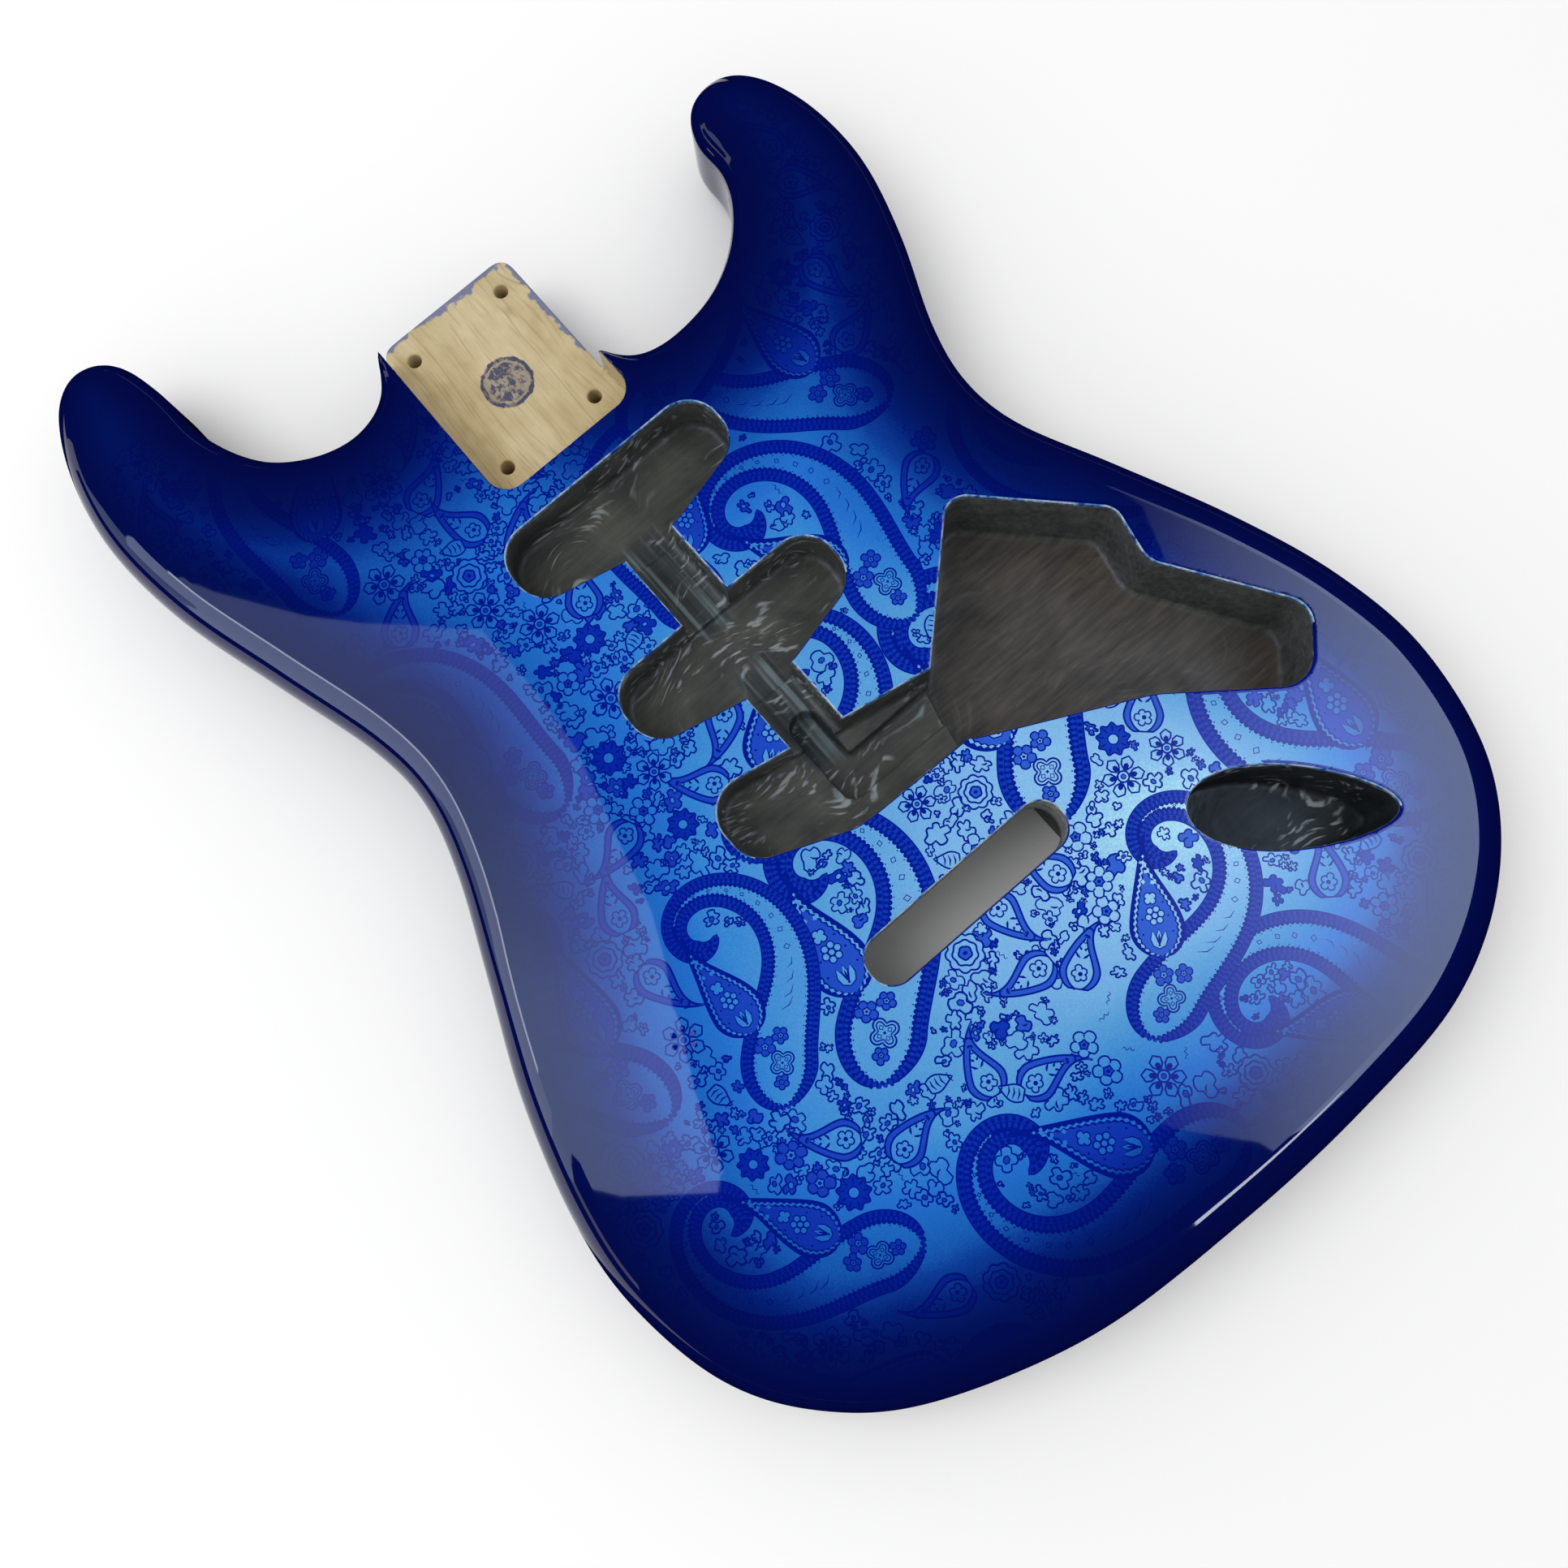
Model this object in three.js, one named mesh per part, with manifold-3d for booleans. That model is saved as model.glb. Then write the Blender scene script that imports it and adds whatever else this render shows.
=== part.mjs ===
import * as THREE from 'three';
import { mergeVertices } from 'three/addons/utils/BufferGeometryUtils.js';
import Module from 'manifold-3d';

// A bare solid body of a double-cutaway electric guitar, routed and painted, with no hardware on it.
// It lies on its flat back. X runs from the bass side to the treble side, Y towards the neck, Z up.
// The origin is on the centre line, under the inner end wall of the neck pocket, on the back.

// Overall sizes, in mm
const bodyLength = 455;
const bodyWidth = 321.5;
const bodyThickness = 44.5;
const edgeRoundRadius = 12;
const overrun = 3;

// Neck pocket and its bolt-on tongue
const pocketWidth = 55.8;
const pocketLength = 76.2;
const pocketDepth = 15.9;
const pocketTaper = 1.6;
const pocketCornerRadius = 8;
const tongueLength = 75;
const tongueTrebleSetback = 0.3;
const tongueBassSetback = 0.5;
const trebleFootToPocket = 20;
const tongueCornerRadius = 6;
const tongueEdgeRadius = 2.5;
const tongueEdgeBlend = 8;
const neckScrewSpacingX = 38.1;
const neckScrewSpacingY = 50.8;
const neckScrewEndGap = 14.4;
const neckScrewHoleDiameter = 4.8;

// Pickup cavities and the cable channel that joins them
const pickupCavityLength = 84.6;
const pickupCavityWidth = 23.6;
const pickupCavityBelly = 10;
const pickupCavityEndRadius = 11.6;
const pickupCavityDepth = 19;
const pickupCavityPitch = 59.4;
const middleCavityShift = -1.6;
const pocketToPickupWall = 11.5;
const channelWidth = 18.4;
const channelOffset = -2.2;
const channelDepth = 16.5;

// Bridge pickup cavity, the wide wireway at its treble end and the deep groove in both
const bridgeCavityReach = 44.5;
const bridgeCavityWidth = 25.6;
const bridgeCavityBelly = 6.4;
const bridgeCavityPitch = 54.5;
const bridgeCavitySlant = 10.8;
const bridgeCavityBendRadius = 30;
const grooveStemWidth = 11;
const grooveStemOffset = -1.5;
const grooveStemLength = 34;
const grooveArmWidth = 13.8;
const grooveLead = 12;
const grooveDepth = 27;
const grooveCornerRadius = 5;

// Control and jack cavities, and the drilled holes for their wires
const controlCavityWidth = 110.5;
const controlCavityLength = 121.5;
const controlCavityDepth = 34;
const controlWallToCentre = 31;
const controlWallToPocket = 93.5;
const jackCavityLength = 64.5;
const jackCavityWidth = 26;
const jackCavityDepth = 32;
const jackCavityTurn = -41;
const jackToSide = 68.2;
const jackToPocket = 238.247;
const wireHoleDiameter = 6.4;

// Tremolo slot, the block room behind it and the spring cavity in the back
const slotLength = 77;
const slotWidth = 16.3;
const slotCornerRadius = 7.6;
const slotToPocket = 192.6;
const blockRoomLength = 82;
const blockRoomWidth = 31;
const blockRoomDepth = 27;
const blockRoomCornerRadius = 8;
const springCavityWidth = 58;
const springCavityLength = 104;
const springCavityDepth = 16;
const springCavityCornerRadius = 9;

// Comfort contours: the forearm bevel on the front and the belly scoop in the back
const forearmDrop = 12;
const bellyDepth = 15;
const bellyReach = 48;
const bellyHalfSpan = 118;

// Glued-up blank, printed sheet on the front and conductive paint in the cavities
const centrePlankWidth = 108;
const sheetThickness = 0.4;
const glueLine = 0.1;
const sheetMouthSetback = 0.8;
const paintThickness = 0.4;
const paintGap = 0.1;
const paintRimDrop = 1.2;

// Outline points as shares of bodyWidth and bodyLength, from the treble foot of the tongue, clockwise
// round the treble horn, the butt and the bass horn, to the bass side of the tongue
const outlineShares = [
  [0.118, 0.0277], [0.156, 0.022], [0.212, 0.0275], [0.262, 0.046], [0.2995, 0.0737], [0.3172, 0.102],
  [0.319, 0.131], [0.3375, 0.1532], [0.3725, 0.159], [0.4032, 0.1484], [0.4255, 0.123], [0.4385, 0.083],
  [0.4358, 0.03], [0.4085, -0.033], [0.369, -0.097], [0.353, -0.146], [0.362, -0.195],
  [0.4053, -0.2633], [0.457, -0.3477], [0.492, -0.4267], [0.5015, -0.505], [0.4693, -0.59],
  [0.3937, -0.6522], [0.286, -0.6905], [0.15, -0.702], [0, -0.7034], [-0.18, -0.6935],
  [-0.3372, -0.66], [-0.4248, -0.6168], [-0.479, -0.56], [-0.5, -0.483], [-0.4905, -0.413],
  [-0.455, -0.33], [-0.4065, -0.254], [-0.3643, -0.1845], [-0.344, -0.1275], [-0.35, -0.074],
  [-0.382, 0.006], [-0.416, 0.093], [-0.427, 0.169], [-0.412, 0.232], [-0.38, 0.2787],
  [-0.34, 0.295], [-0.301, 0.2825], [-0.2847, 0.244], [-0.2783, 0.1937], [-0.2492, 0.1498],
  [-0.205, 0.1255], [-0.157, 0.117], [-0.114, 0.1275],
];
const samplesPerPoint = 3;

// The control cavity's corners, from the wireway round by the neck side, each as shares of its
// width, its length, and its length again for the radius
const controlCornerShares = [
  [0.059, 0.329, 0.016], [0.443, 0, 0.058], [0.778, 0.317, 0.058], [0.74, 0.477, 0.082],
  [1, 0.84, 0.074], [0.842, 1, 0.09], [0.489, 0.749, 0.33], [0, 0.523, 0.041],
];
const jackCavityTaperShare = 0.22;

// The forearm crease runs between these points, as shares of bodyWidth and bodyLength
const forearmCreaseShares = [[-0.35, -0.23], [-0.11, -0.706]];
const forearmBlendShare = 0.36;
const forearmBlendSteps = 3;
// The belly scoop is centred on this point of the waist, as shares of bodyWidth and bodyLength
const bellyCentreShares = [-0.372, -0.1];
const bellySpanSteps = 8;
const bellyReachSteps = 3;
const roundSteps = 4;
const holeSides = 10;
const cornerSteps = 5;
const jackSides = 28;
const bridgeFlankShare = 0.22;
const bendLimitShare = 0.8;
const sheetEdgeShare = 0.03;

const woodTop = bodyThickness - sheetThickness - glueLine;
const half = 0.5;

const wasm = await Module();
wasm.setup();
const { Manifold } = wasm;

const smooth = (t) => {
  const u = THREE.MathUtils.clamp(t, 0, 1);
  return u * u * (3 - 2 * u);
};

function toSolid(geometry) {
  const plain = new THREE.BufferGeometry();
  plain.setAttribute('position', geometry.getAttribute('position'));
  if (geometry.index) plain.setIndex(geometry.index);
  const merged = mergeVertices(plain);
  const mesh = new wasm.Mesh({
    numProp: 3,
    vertProperties: new Float32Array(merged.getAttribute('position').array),
    triVerts: new Uint32Array(merged.index.array),
  });
  mesh.merge();
  return new Manifold(mesh);
}

function toGeometry(solid) {
  const mesh = solid.getMesh();
  const geometry = new THREE.BufferGeometry();
  geometry.setAttribute('position', new THREE.BufferAttribute(mesh.vertProperties, mesh.numProp));
  geometry.setIndex(new THREE.BufferAttribute(mesh.triVerts, 1));
  geometry.computeVertexNormals();
  return geometry;
}

function meshGeometry(vertices, faces) {
  const geometry = new THREE.BufferGeometry();
  const flat = vertices.flatMap((v) => [v.x, v.y, v.z]);
  geometry.setAttribute('position', new THREE.Float32BufferAttribute(flat, 3));
  geometry.setIndex(faces.flat());
  return geometry;
}

// A closed loop of points for a polygon whose corners are rounded, moved inwards by an inset
function roundedLoop(corners, inset = 0) {
  const count = corners.length;
  const at = (i) => corners[(i + count) % count];
  const area = corners.reduce((sum, [x, y], i) => sum + x * at(i + 1)[1] - at(i + 1)[0] * y, 0);
  const turn = Math.sign(area);
  const edges = corners.map(([x, y], i) => {
    const along = new THREE.Vector2(at(i + 1)[0] - x, at(i + 1)[1] - y).normalize();
    const inward = new THREE.Vector2(-along.y, along.x).multiplyScalar(turn * inset);
    return { along, start: new THREE.Vector2(x, y).add(inward) };
  });
  const loop = [];
  corners.forEach(([, , radius], i) => {
    const before = edges[(i + count - 1) % count];
    const after = edges[i];
    const cross = before.along.cross(after.along);
    const gap = after.start.clone().sub(before.start);
    const corner = before.start.clone().addScaledVector(before.along, gap.cross(after.along) / cross);
    const convex = cross * turn > 0;
    const round = Math.max(radius + (convex ? -inset : inset), 0);
    if (radius === 0 || round === 0) {
      loop.push(corner);
      return;
    }
    const bend = Math.acos(THREE.MathUtils.clamp(before.along.dot(after.along), -1, 1));
    const reach = round * Math.tan(bend * half);
    const side = new THREE.Vector2(-before.along.y, before.along.x).multiplyScalar(Math.sign(cross));
    const centre = corner.clone().addScaledVector(before.along, -reach).addScaledVector(side, round);
    for (let k = 0; k <= cornerSteps; k += 1) {
      const angle = (Math.sign(cross) * bend * k) / cornerSteps;
      const spoke = side.clone().multiplyScalar(-round).rotateAround(new THREE.Vector2(), angle);
      loop.push(centre.clone().add(spoke));
    }
  });
  return turn > 0 ? loop : loop.reverse();
}

function prism(loop, bottom, top) {
  const count = loop.length;
  const ring = (z) => loop.map((p) => new THREE.Vector3(p.x, p.y, z));
  const caps = THREE.ShapeUtils.triangulateShape(loop, []);
  const faces = [
    ...caps.map(([a, b, c]) => [c, b, a]),
    ...caps.map(([a, b, c]) => [a + count, b + count, c + count]),
  ];
  loop.forEach((_, i) => {
    const j = (i + 1) % count;
    faces.push([i, j, j + count], [i, j + count, i + count]);
  });
  return toSolid(meshGeometry([...ring(bottom), ...ring(top)], faces));
}

function drilledHole(from, to, diameter) {
  const axis = to.clone().sub(from);
  const shape = new THREE.CylinderGeometry(diameter * half, diameter * half, axis.length(), holeSides);
  const turn = new THREE.Quaternion().setFromUnitVectors(new THREE.Object3D().up, axis.normalize());
  shape.applyQuaternion(turn);
  const middle = from.clone().lerp(to, half);
  shape.translate(middle.x, middle.y, middle.z);
  return toSolid(shape);
}

// The outline, with the tongue's straight sides and small corners between the two ends of the spline
function bodyOutline() {
  const trebleX = pocketWidth * half - tongueTrebleSetback;
  const bassX = (pocketWidth - pocketTaper) * half - tongueBassSetback;
  const shape = new THREE.Shape();
  shape.moveTo(trebleX, trebleFootToPocket);
  const path = outlineShares.map(([x, y]) => new THREE.Vector2(x * bodyWidth, y * bodyLength));
  shape.splineThru([...path, new THREE.Vector2(-bassX, tongueLength - tongueCornerRadius)]);
  shape.quadraticCurveTo(-bassX, tongueLength, tongueCornerRadius - bassX, tongueLength);
  shape.lineTo(trebleX - tongueCornerRadius, tongueLength);
  shape.quadraticCurveTo(trebleX, tongueLength, trebleX, tongueLength - tongueCornerRadius);
  shape.closePath();
  const loop = shape.getPoints(samplesPerPoint);
  const last = loop[loop.length - 1];
  if (last.distanceTo(loop[0]) < glueLine) loop.pop();
  return loop.reverse();
}

// The edge roundover shrinks to a small break where the outline nears the neck pocket
function edgeRadiusAt(p) {
  const away = new THREE.Vector2(
    Math.max(Math.abs(p.x) - pocketWidth * half, 0),
    Math.max(-p.y, p.y - tongueLength, 0),
  );
  const share = smooth(away.length() / tongueEdgeBlend);
  return THREE.MathUtils.lerp(tongueEdgeRadius, edgeRoundRadius, share);
}

// On a tight convex bend the roundover is limited by the bend's own radius
function edgeRadii(loop) {
  const count = loop.length;
  const bends = loop.map((p, i) => {
    const before = p.clone().sub(loop[(i + count - 1) % count]);
    const after = loop[(i + 1) % count].clone().sub(p);
    const turn = 2 * before.cross(after);
    const chord = before.clone().add(after).length();
    return turn > 0 ? (before.length() * after.length() * chord) / turn : Infinity;
  });
  return loop.map((p, i) => {
    const tightest = Math.min(bends[(i + count - 1) % count], bends[i], bends[(i + 1) % count]);
    return Math.min(edgeRadiusAt(p), tightest * bendLimitShare);
  });
}

function insetLoop(loop, amountAt) {
  const count = loop.length;
  return loop.map((p, i) => {
    const chord = loop[(i + 1) % count].clone().sub(loop[(i + count - 1) % count]).normalize();
    return new THREE.Vector2(p.x - chord.y * amountAt(i), p.y + chord.x * amountAt(i));
  });
}

// Rings of the rounded edge from the back up to the front, lofted and closed by two flat faces
function roundedSlab(loop, top) {
  const vertices = [];
  const count = loop.length;
  const radii = edgeRadii(loop);
  const ringAt = (angle, onTop) => {
    const ring = insetLoop(loop, (i) => radii[i] * (1 - Math.cos(angle)));
    ring.forEach((p, i) => {
      const height = radii[i] * (1 - Math.sin(angle));
      vertices.push(new THREE.Vector3(p.x, p.y, onTop ? top - height : height));
    });
  };
  const quarter = Math.PI * half;
  for (let k = roundSteps; k >= 0; k -= 1) ringAt((quarter * k) / roundSteps, false);
  for (let k = 0; k <= roundSteps; k += 1) ringAt((quarter * k) / roundSteps, true);
  const rings = vertices.length / count;
  const faces = [];
  for (let r = 0; r + 1 < rings; r += 1) {
    for (let i = 0; i < count; i += 1) {
      const a = r * count + i;
      const b = r * count + ((i + 1) % count);
      faces.push([a, b, b + count], [a, b + count, a + count]);
    }
  }
  const flat = (ring) => vertices.slice(ring * count, (ring + 1) * count);
  const cap = (ring) => THREE.ShapeUtils.triangulateShape(flat(ring), [])
    .map((face) => face.map((v) => v + ring * count));
  cap(0).forEach(([a, b, c]) => faces.push([c, b, a]));
  faces.push(...cap(rings - 1));
  return { vertices, faces };
}

// Cuts every edge that crosses the zero line of a field, where both of its ends lie in reach
function scoreMesh({ vertices, faces }, field, inReach = () => true) {
  const values = vertices.map(field);
  const middles = new Map();
  const middle = (a, b) => {
    if (values[a] * values[b] >= 0 || !inReach(vertices[a]) || !inReach(vertices[b])) return null;
    const key = a < b ? `${a},${b}` : `${b},${a}`;
    if (!middles.has(key)) {
      const share = values[a] / (values[a] - values[b]);
      middles.set(key, vertices.push(vertices[a].clone().lerp(vertices[b], share)) - 1);
    }
    return middles.get(key);
  };
  const cut = faces.flatMap((face) => {
    const mids = face.map((v, i) => middle(v, face[(i + 1) % 3]));
    const marked = mids.filter((m) => m !== null).length;
    if (marked === 0) return [face];
    const turn = marked === 1 ? mids.findIndex((m) => m !== null)
      : (mids.findIndex((m) => m === null) + 1) % 3;
    const [a, b, c] = [0, 1, 2].map((i) => face[(turn + i) % 3]);
    const first = mids[turn];
    if (marked === 1) return [[a, first, c], [first, b, c]];
    const second = mids[(turn + 1) % 3];
    return [[a, first, second], [first, b, second], [a, second, c]];
  });
  return { vertices, faces: cut };
}

const place = ([x, y]) => new THREE.Vector2(x * bodyWidth, y * bodyLength);

// How deep the forearm bevel is at a point: a soft start at the crease, then a plane
function forearmBevel(loop) {
  const [start, end] = forearmCreaseShares.map(place);
  const along = end.clone().sub(start).normalize();
  const out = new THREE.Vector2(along.y, -along.x);
  const distance = (p) => (p.x - start.x) * out.x + (p.y - start.y) * out.y;
  const reach = Math.max(...loop.map(distance));
  const knots = Array.from({ length: forearmBlendSteps + 1 },
    (_, k) => (forearmBlendShare * k) / forearmBlendSteps);
  const curve = (t) => (t < forearmBlendShare
    ? (t * t) / (2 * forearmBlendShare) : t - forearmBlendShare * half);
  const full = curve(1);
  const depthAt = (p) => {
    const t = distance(p) / reach;
    if (t <= 0) return 0;
    const k = knots.findIndex((knot) => knot > t);
    if (k < 0) return (forearmDrop * curve(t)) / full;
    const share = (t - knots[k - 1]) / (knots[k] - knots[k - 1]);
    return (forearmDrop * THREE.MathUtils.lerp(curve(knots[k - 1]), curve(knots[k]), share)) / full;
  };
  return { depthAt, fields: knots.map((knot) => (p) => distance(p) - knot * reach) };
}

// How deep the belly scoop is at a point: deepest at the waist and fading towards both bouts
function bellyScoop() {
  const centre = place(bellyCentreShares);
  const crease = centre.x + bellyReach;
  const inside = (p) => crease - p.x;
  const depthAt = (p) => {
    const t = inside(p) / bellyReach;
    const span = Math.abs(p.y - centre.y) / bellyHalfSpan;
    if (t <= 0 || span >= 1) return 0;
    const bend = Math.min(t, 1) * Math.min(t, 1) * half + Math.max(t - 1, 0) + t * half * half;
    return Math.min(bellyDepth * bend, bellyDepth) * smooth(1 - span);
  };
  const across = Array.from({ length: bellyReachSteps + 1 },
    (_, k) => (p) => inside(p) - (bellyReach * k) / bellyReachSteps);
  const along = Array.from({ length: bellySpanSteps + 1 },
    (_, k) => (p) => p.y - centre.y - bellyHalfSpan * ((2 * k) / bellySpanSteps - 1));
  return { depthAt, across, along, inReach: (p) => inside(p) >= -glueLine };
}

const outline = bodyOutline();
const forearm = forearmBevel(outline);
const belly = bellyScoop();

// The wooden blank with its roundover, bevel and scoop, before any routing
function shapedBlank() {
  let mesh = roundedSlab(outline, woodTop);
  forearm.fields.forEach((field) => { mesh = scoreMesh(mesh, field); });
  belly.across.forEach((field) => { mesh = scoreMesh(mesh, field); });
  belly.along.forEach((field) => { mesh = scoreMesh(mesh, field, belly.inReach); });
  const sideTop = woodTop - edgeRoundRadius;
  const sideHeight = sideTop - edgeRoundRadius;
  mesh.vertices.forEach((v) => {
    const rise = THREE.MathUtils.clamp((v.z - edgeRoundRadius) / sideHeight, 0, 1);
    v.z += belly.depthAt(v) * (1 - rise) - forearm.depthAt(v) * rise;
  });
  return toSolid(meshGeometry(mesh.vertices, mesh.faces));
}

// Corner lists of the routed shapes, each corner as x, y and radius
const rectangle = (x, y, width, length, radius) => [
  [x - width * half, y - length * half, radius], [x + width * half, y - length * half, radius],
  [x + width * half, y + length * half, radius], [x - width * half, y + length * half, radius],
];

const pickupTop = (index) => -pocketToPickupWall - pickupCavityPitch * index;

function pickupCorners(index) {
  const side = pickupCavityLength * half;
  const top = pickupTop(index);
  const low = top - pickupCavityWidth;
  const centre = index * middleCavityShift;
  const radius = pickupCavityEndRadius;
  return [
    [centre - side, top, radius], [centre - side, low, radius], [centre, low - pickupCavityBelly, 0],
    [centre + side, low, radius], [centre + side, top, radius],
  ];
}

const bridgeTop = pickupTop(1) - bridgeCavityPitch;
const wirewayEnd = controlWallToCentre + grooveStemWidth;

// The bridge cavity slants, and its treble end opens wide into the control cavity
function bridgeCorners() {
  const slope = Math.tan(THREE.MathUtils.degToRad(bridgeCavitySlant));
  const edgeAt = (x) => bridgeTop - x * slope;
  const bass = -bridgeCavityReach;
  const low = bridgeTop - bridgeCavityWidth - bridgeCavityBelly;
  const radius = pickupCavityEndRadius;
  return [
    [bass, edgeAt(bass), radius], [bass, edgeAt(bass) - bridgeCavityWidth, radius],
    [channelOffset - channelWidth * half, low + bridgeCavityBelly * bridgeFlankShare,
      bridgeCavityBendRadius],
    [wirewayEnd, low, 0], [wirewayEnd, edgeAt(wirewayEnd), 0],
  ];
}

function channelCorners() {
  const start = pickupTop(0) - pickupCavityWidth * half;
  const end = bridgeTop - bridgeCavityWidth * half;
  return rectangle(channelOffset, (start + end) * half, channelWidth, start - end, 0);
}

// The deep groove starts in the channel and turns a right angle towards the control cavity
function grooveCorners() {
  const bass = grooveStemOffset - grooveStemWidth * half;
  const start = bridgeTop + grooveLead;
  const end = start - grooveStemLength;
  const radius = grooveCornerRadius;
  return [
    [bass, start, radius], [bass, end, radius], [wirewayEnd, end, 0],
    [wirewayEnd, end + grooveArmWidth, 0], [bass + grooveStemWidth, end + grooveArmWidth, 0],
    [bass + grooveStemWidth, start, radius],
  ];
}

const controlCorners = () => controlCornerShares.map(([x, y, radius]) => [
  controlWallToCentre + x * controlCavityWidth,
  -controlWallToPocket - y * controlCavityLength,
  radius * controlCavityLength,
]);

const jackCentre = () => new THREE.Vector2(bodyWidth * half - jackToSide, -jackToPocket);

// The jack cavity is an oval that narrows towards the rim of the body
function jackLoop(inset) {
  const centre = jackCentre();
  return Array.from({ length: jackSides }, (_, i) => {
    const angle = (2 * Math.PI * i) / jackSides;
    const along = Math.cos(angle) * (jackCavityLength * half - inset);
    const narrow = 1 - jackCavityTaperShare * Math.cos(angle);
    const across = Math.sin(angle) * (jackCavityWidth * half - inset) * narrow;
    return new THREE.Vector2(along, across).add(centre)
      .rotateAround(centre, THREE.MathUtils.degToRad(jackCavityTurn));
  });
}

// The neck pocket narrows towards its open end, and its treble wall stops where the cutaway starts
function pocketCorners() {
  const side = pocketWidth * half;
  const open = tongueLength + overrun;
  const openSide = side - (pocketTaper * half * open) / pocketLength;
  return [
    [-side, 0, pocketCornerRadius], [side, 0, pocketCornerRadius],
    [side, open, 0], [-openSide, open, 0],
  ];
}

const slotCorners = () => rectangle(0, -slotToPocket, slotLength, slotWidth, slotCornerRadius);
const blockRoomCorners = () => rectangle(0, -slotToPocket, blockRoomLength, blockRoomWidth,
  blockRoomCornerRadius);
function springCavityCorners() {
  const end = -slotToPocket + blockRoomWidth * half;
  return rectangle(0, end + springCavityLength * half - springCavityCornerRadius, springCavityWidth,
    springCavityLength, springCavityCornerRadius);
}

// Every space that is routed from the front, shrunk by an inset that is also taken off its floor
const routedFromFront = (corners, depth, inset) => prism(
  roundedLoop(corners, inset),
  bodyThickness - depth + inset,
  bodyThickness + overrun,
);

const pickupRoom = (inset) => Manifold.union([
  routedFromFront(pickupCorners(0), pickupCavityDepth, inset),
  routedFromFront(pickupCorners(1), pickupCavityDepth, inset),
  routedFromFront(bridgeCorners(), pickupCavityDepth, inset),
  routedFromFront(channelCorners(), channelDepth, inset),
  routedFromFront(grooveCorners(), grooveDepth, inset),
]);
const controlRoom = (inset) => routedFromFront(controlCorners(), controlCavityDepth, inset);
const jackRoom = (inset) => prism(
  jackLoop(inset),
  bodyThickness - jackCavityDepth + inset,
  bodyThickness + overrun,
);

function neckScrewHoles() {
  const holes = [];
  for (const side of [-half, half]) {
    for (const row of [0, 1]) {
      const x = side * neckScrewSpacingX;
      const y = neckScrewEndGap + row * neckScrewSpacingY;
      const from = new THREE.Vector3(x, y, -overrun);
      holes.push(drilledHole(from, new THREE.Vector3(x, y, bodyThickness), neckScrewHoleDiameter));
    }
  }
  return holes;
}

// The wires pass from the control cavity to the jack cavity, and to the claw in the spring cavity
function wireHoles() {
  const height = bodyThickness - jackCavityDepth + wireHoleDiameter;
  const jack = new THREE.Vector3(jackCentre().x, jackCentre().y, height);
  const control = new THREE.Vector3(controlWallToCentre + controlCavityWidth * half,
    -controlWallToPocket - controlCavityLength * half, height);
  const claw = new THREE.Vector3(springCavityWidth * half - wireHoleDiameter,
    -slotToPocket + blockRoomWidth, springCavityDepth * half);
  const controlLow = new THREE.Vector3(controlWallToCentre + wireHoleDiameter * 2,
    -controlWallToPocket - controlCavityLength * half, height);
  return [
    drilledHole(jack, control, wireHoleDiameter), drilledHole(claw, controlLow, wireHoleDiameter),
  ];
}

function routedBody() {
  const slot = prism(roundedLoop(slotCorners()), -overrun, bodyThickness + overrun);
  const pocket = routedFromFront(pocketCorners(), pocketDepth, 0);
  const blockRoom = prism(roundedLoop(blockRoomCorners()), -overrun, blockRoomDepth);
  const springs = prism(roundedLoop(springCavityCorners()), -overrun, springCavityDepth);
  return shapedBlank().subtract(Manifold.union([
    pickupRoom(0), controlRoom(0), jackRoom(0), slot, pocket, blockRoom, springs,
    ...neckScrewHoles(), ...wireHoles(),
  ]));
}

// One glued plank of the blank, between two planes across the body
function plank(body, from, to) {
  const y = bodyLength + overrun;
  const loop = [[from, -y], [to, -y], [to, y], [from, y]].map(([a, b]) => new THREE.Vector2(a, b));
  return body.intersect(prism(loop, -overrun, bodyThickness + overrun));
}

// The printed sheet follows the flat front and the forearm bevel, open over every routed space
function printedSheet() {
  const radii = edgeRadii(outline);
  const rim = insetLoop(outline, (i) => radii[i] * (1 + sheetEdgeShare));
  const thick = bodyThickness - sheetThickness;
  const caps = THREE.ShapeUtils.triangulateShape(rim, []);
  const count = rim.length;
  const vertices = [thick, bodyThickness].flatMap((z) => rim.map((p) => new THREE.Vector3(p.x, p.y, z)));
  const faces = [
    ...caps.map(([a, b, c]) => [c, b, a]),
    ...caps.map(([a, b, c]) => [a + count, b + count, c + count]),
  ];
  rim.forEach((_, i) => {
    const j = (i + 1) % count;
    faces.push([i, j, j + count], [i, j + count, i + count]);
  });
  let mesh = { vertices, faces };
  forearm.fields.forEach((field) => { mesh = scoreMesh(mesh, field); });
  mesh.vertices.forEach((v) => { v.z -= forearm.depthAt(v); });
  const open = -sheetMouthSetback;
  const slot = prism(roundedLoop(slotCorners(), open), 0, bodyThickness + overrun);
  return toSolid(meshGeometry(mesh.vertices, mesh.faces)).subtract(Manifold.union([
    pickupRoom(open), controlRoom(open), jackRoom(open), slot,
    routedFromFront(pocketCorners(), pocketDepth, open),
  ]));
}

// A coat of conductive paint on the floor and walls of a room, left open where another room meets it
function paintCoat(room, neighbours) {
  const rim = woodTop - paintRimDrop;
  const span = bodyLength + bodyWidth;
  const above = prism(
    roundedLoop(rectangle(0, 0, span * 2, span * 2, 0)), rim, rim + bodyThickness,
  );
  return room(paintGap).subtract(Manifold.union([room(paintGap + paintThickness), above, ...neighbours]));
}

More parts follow.
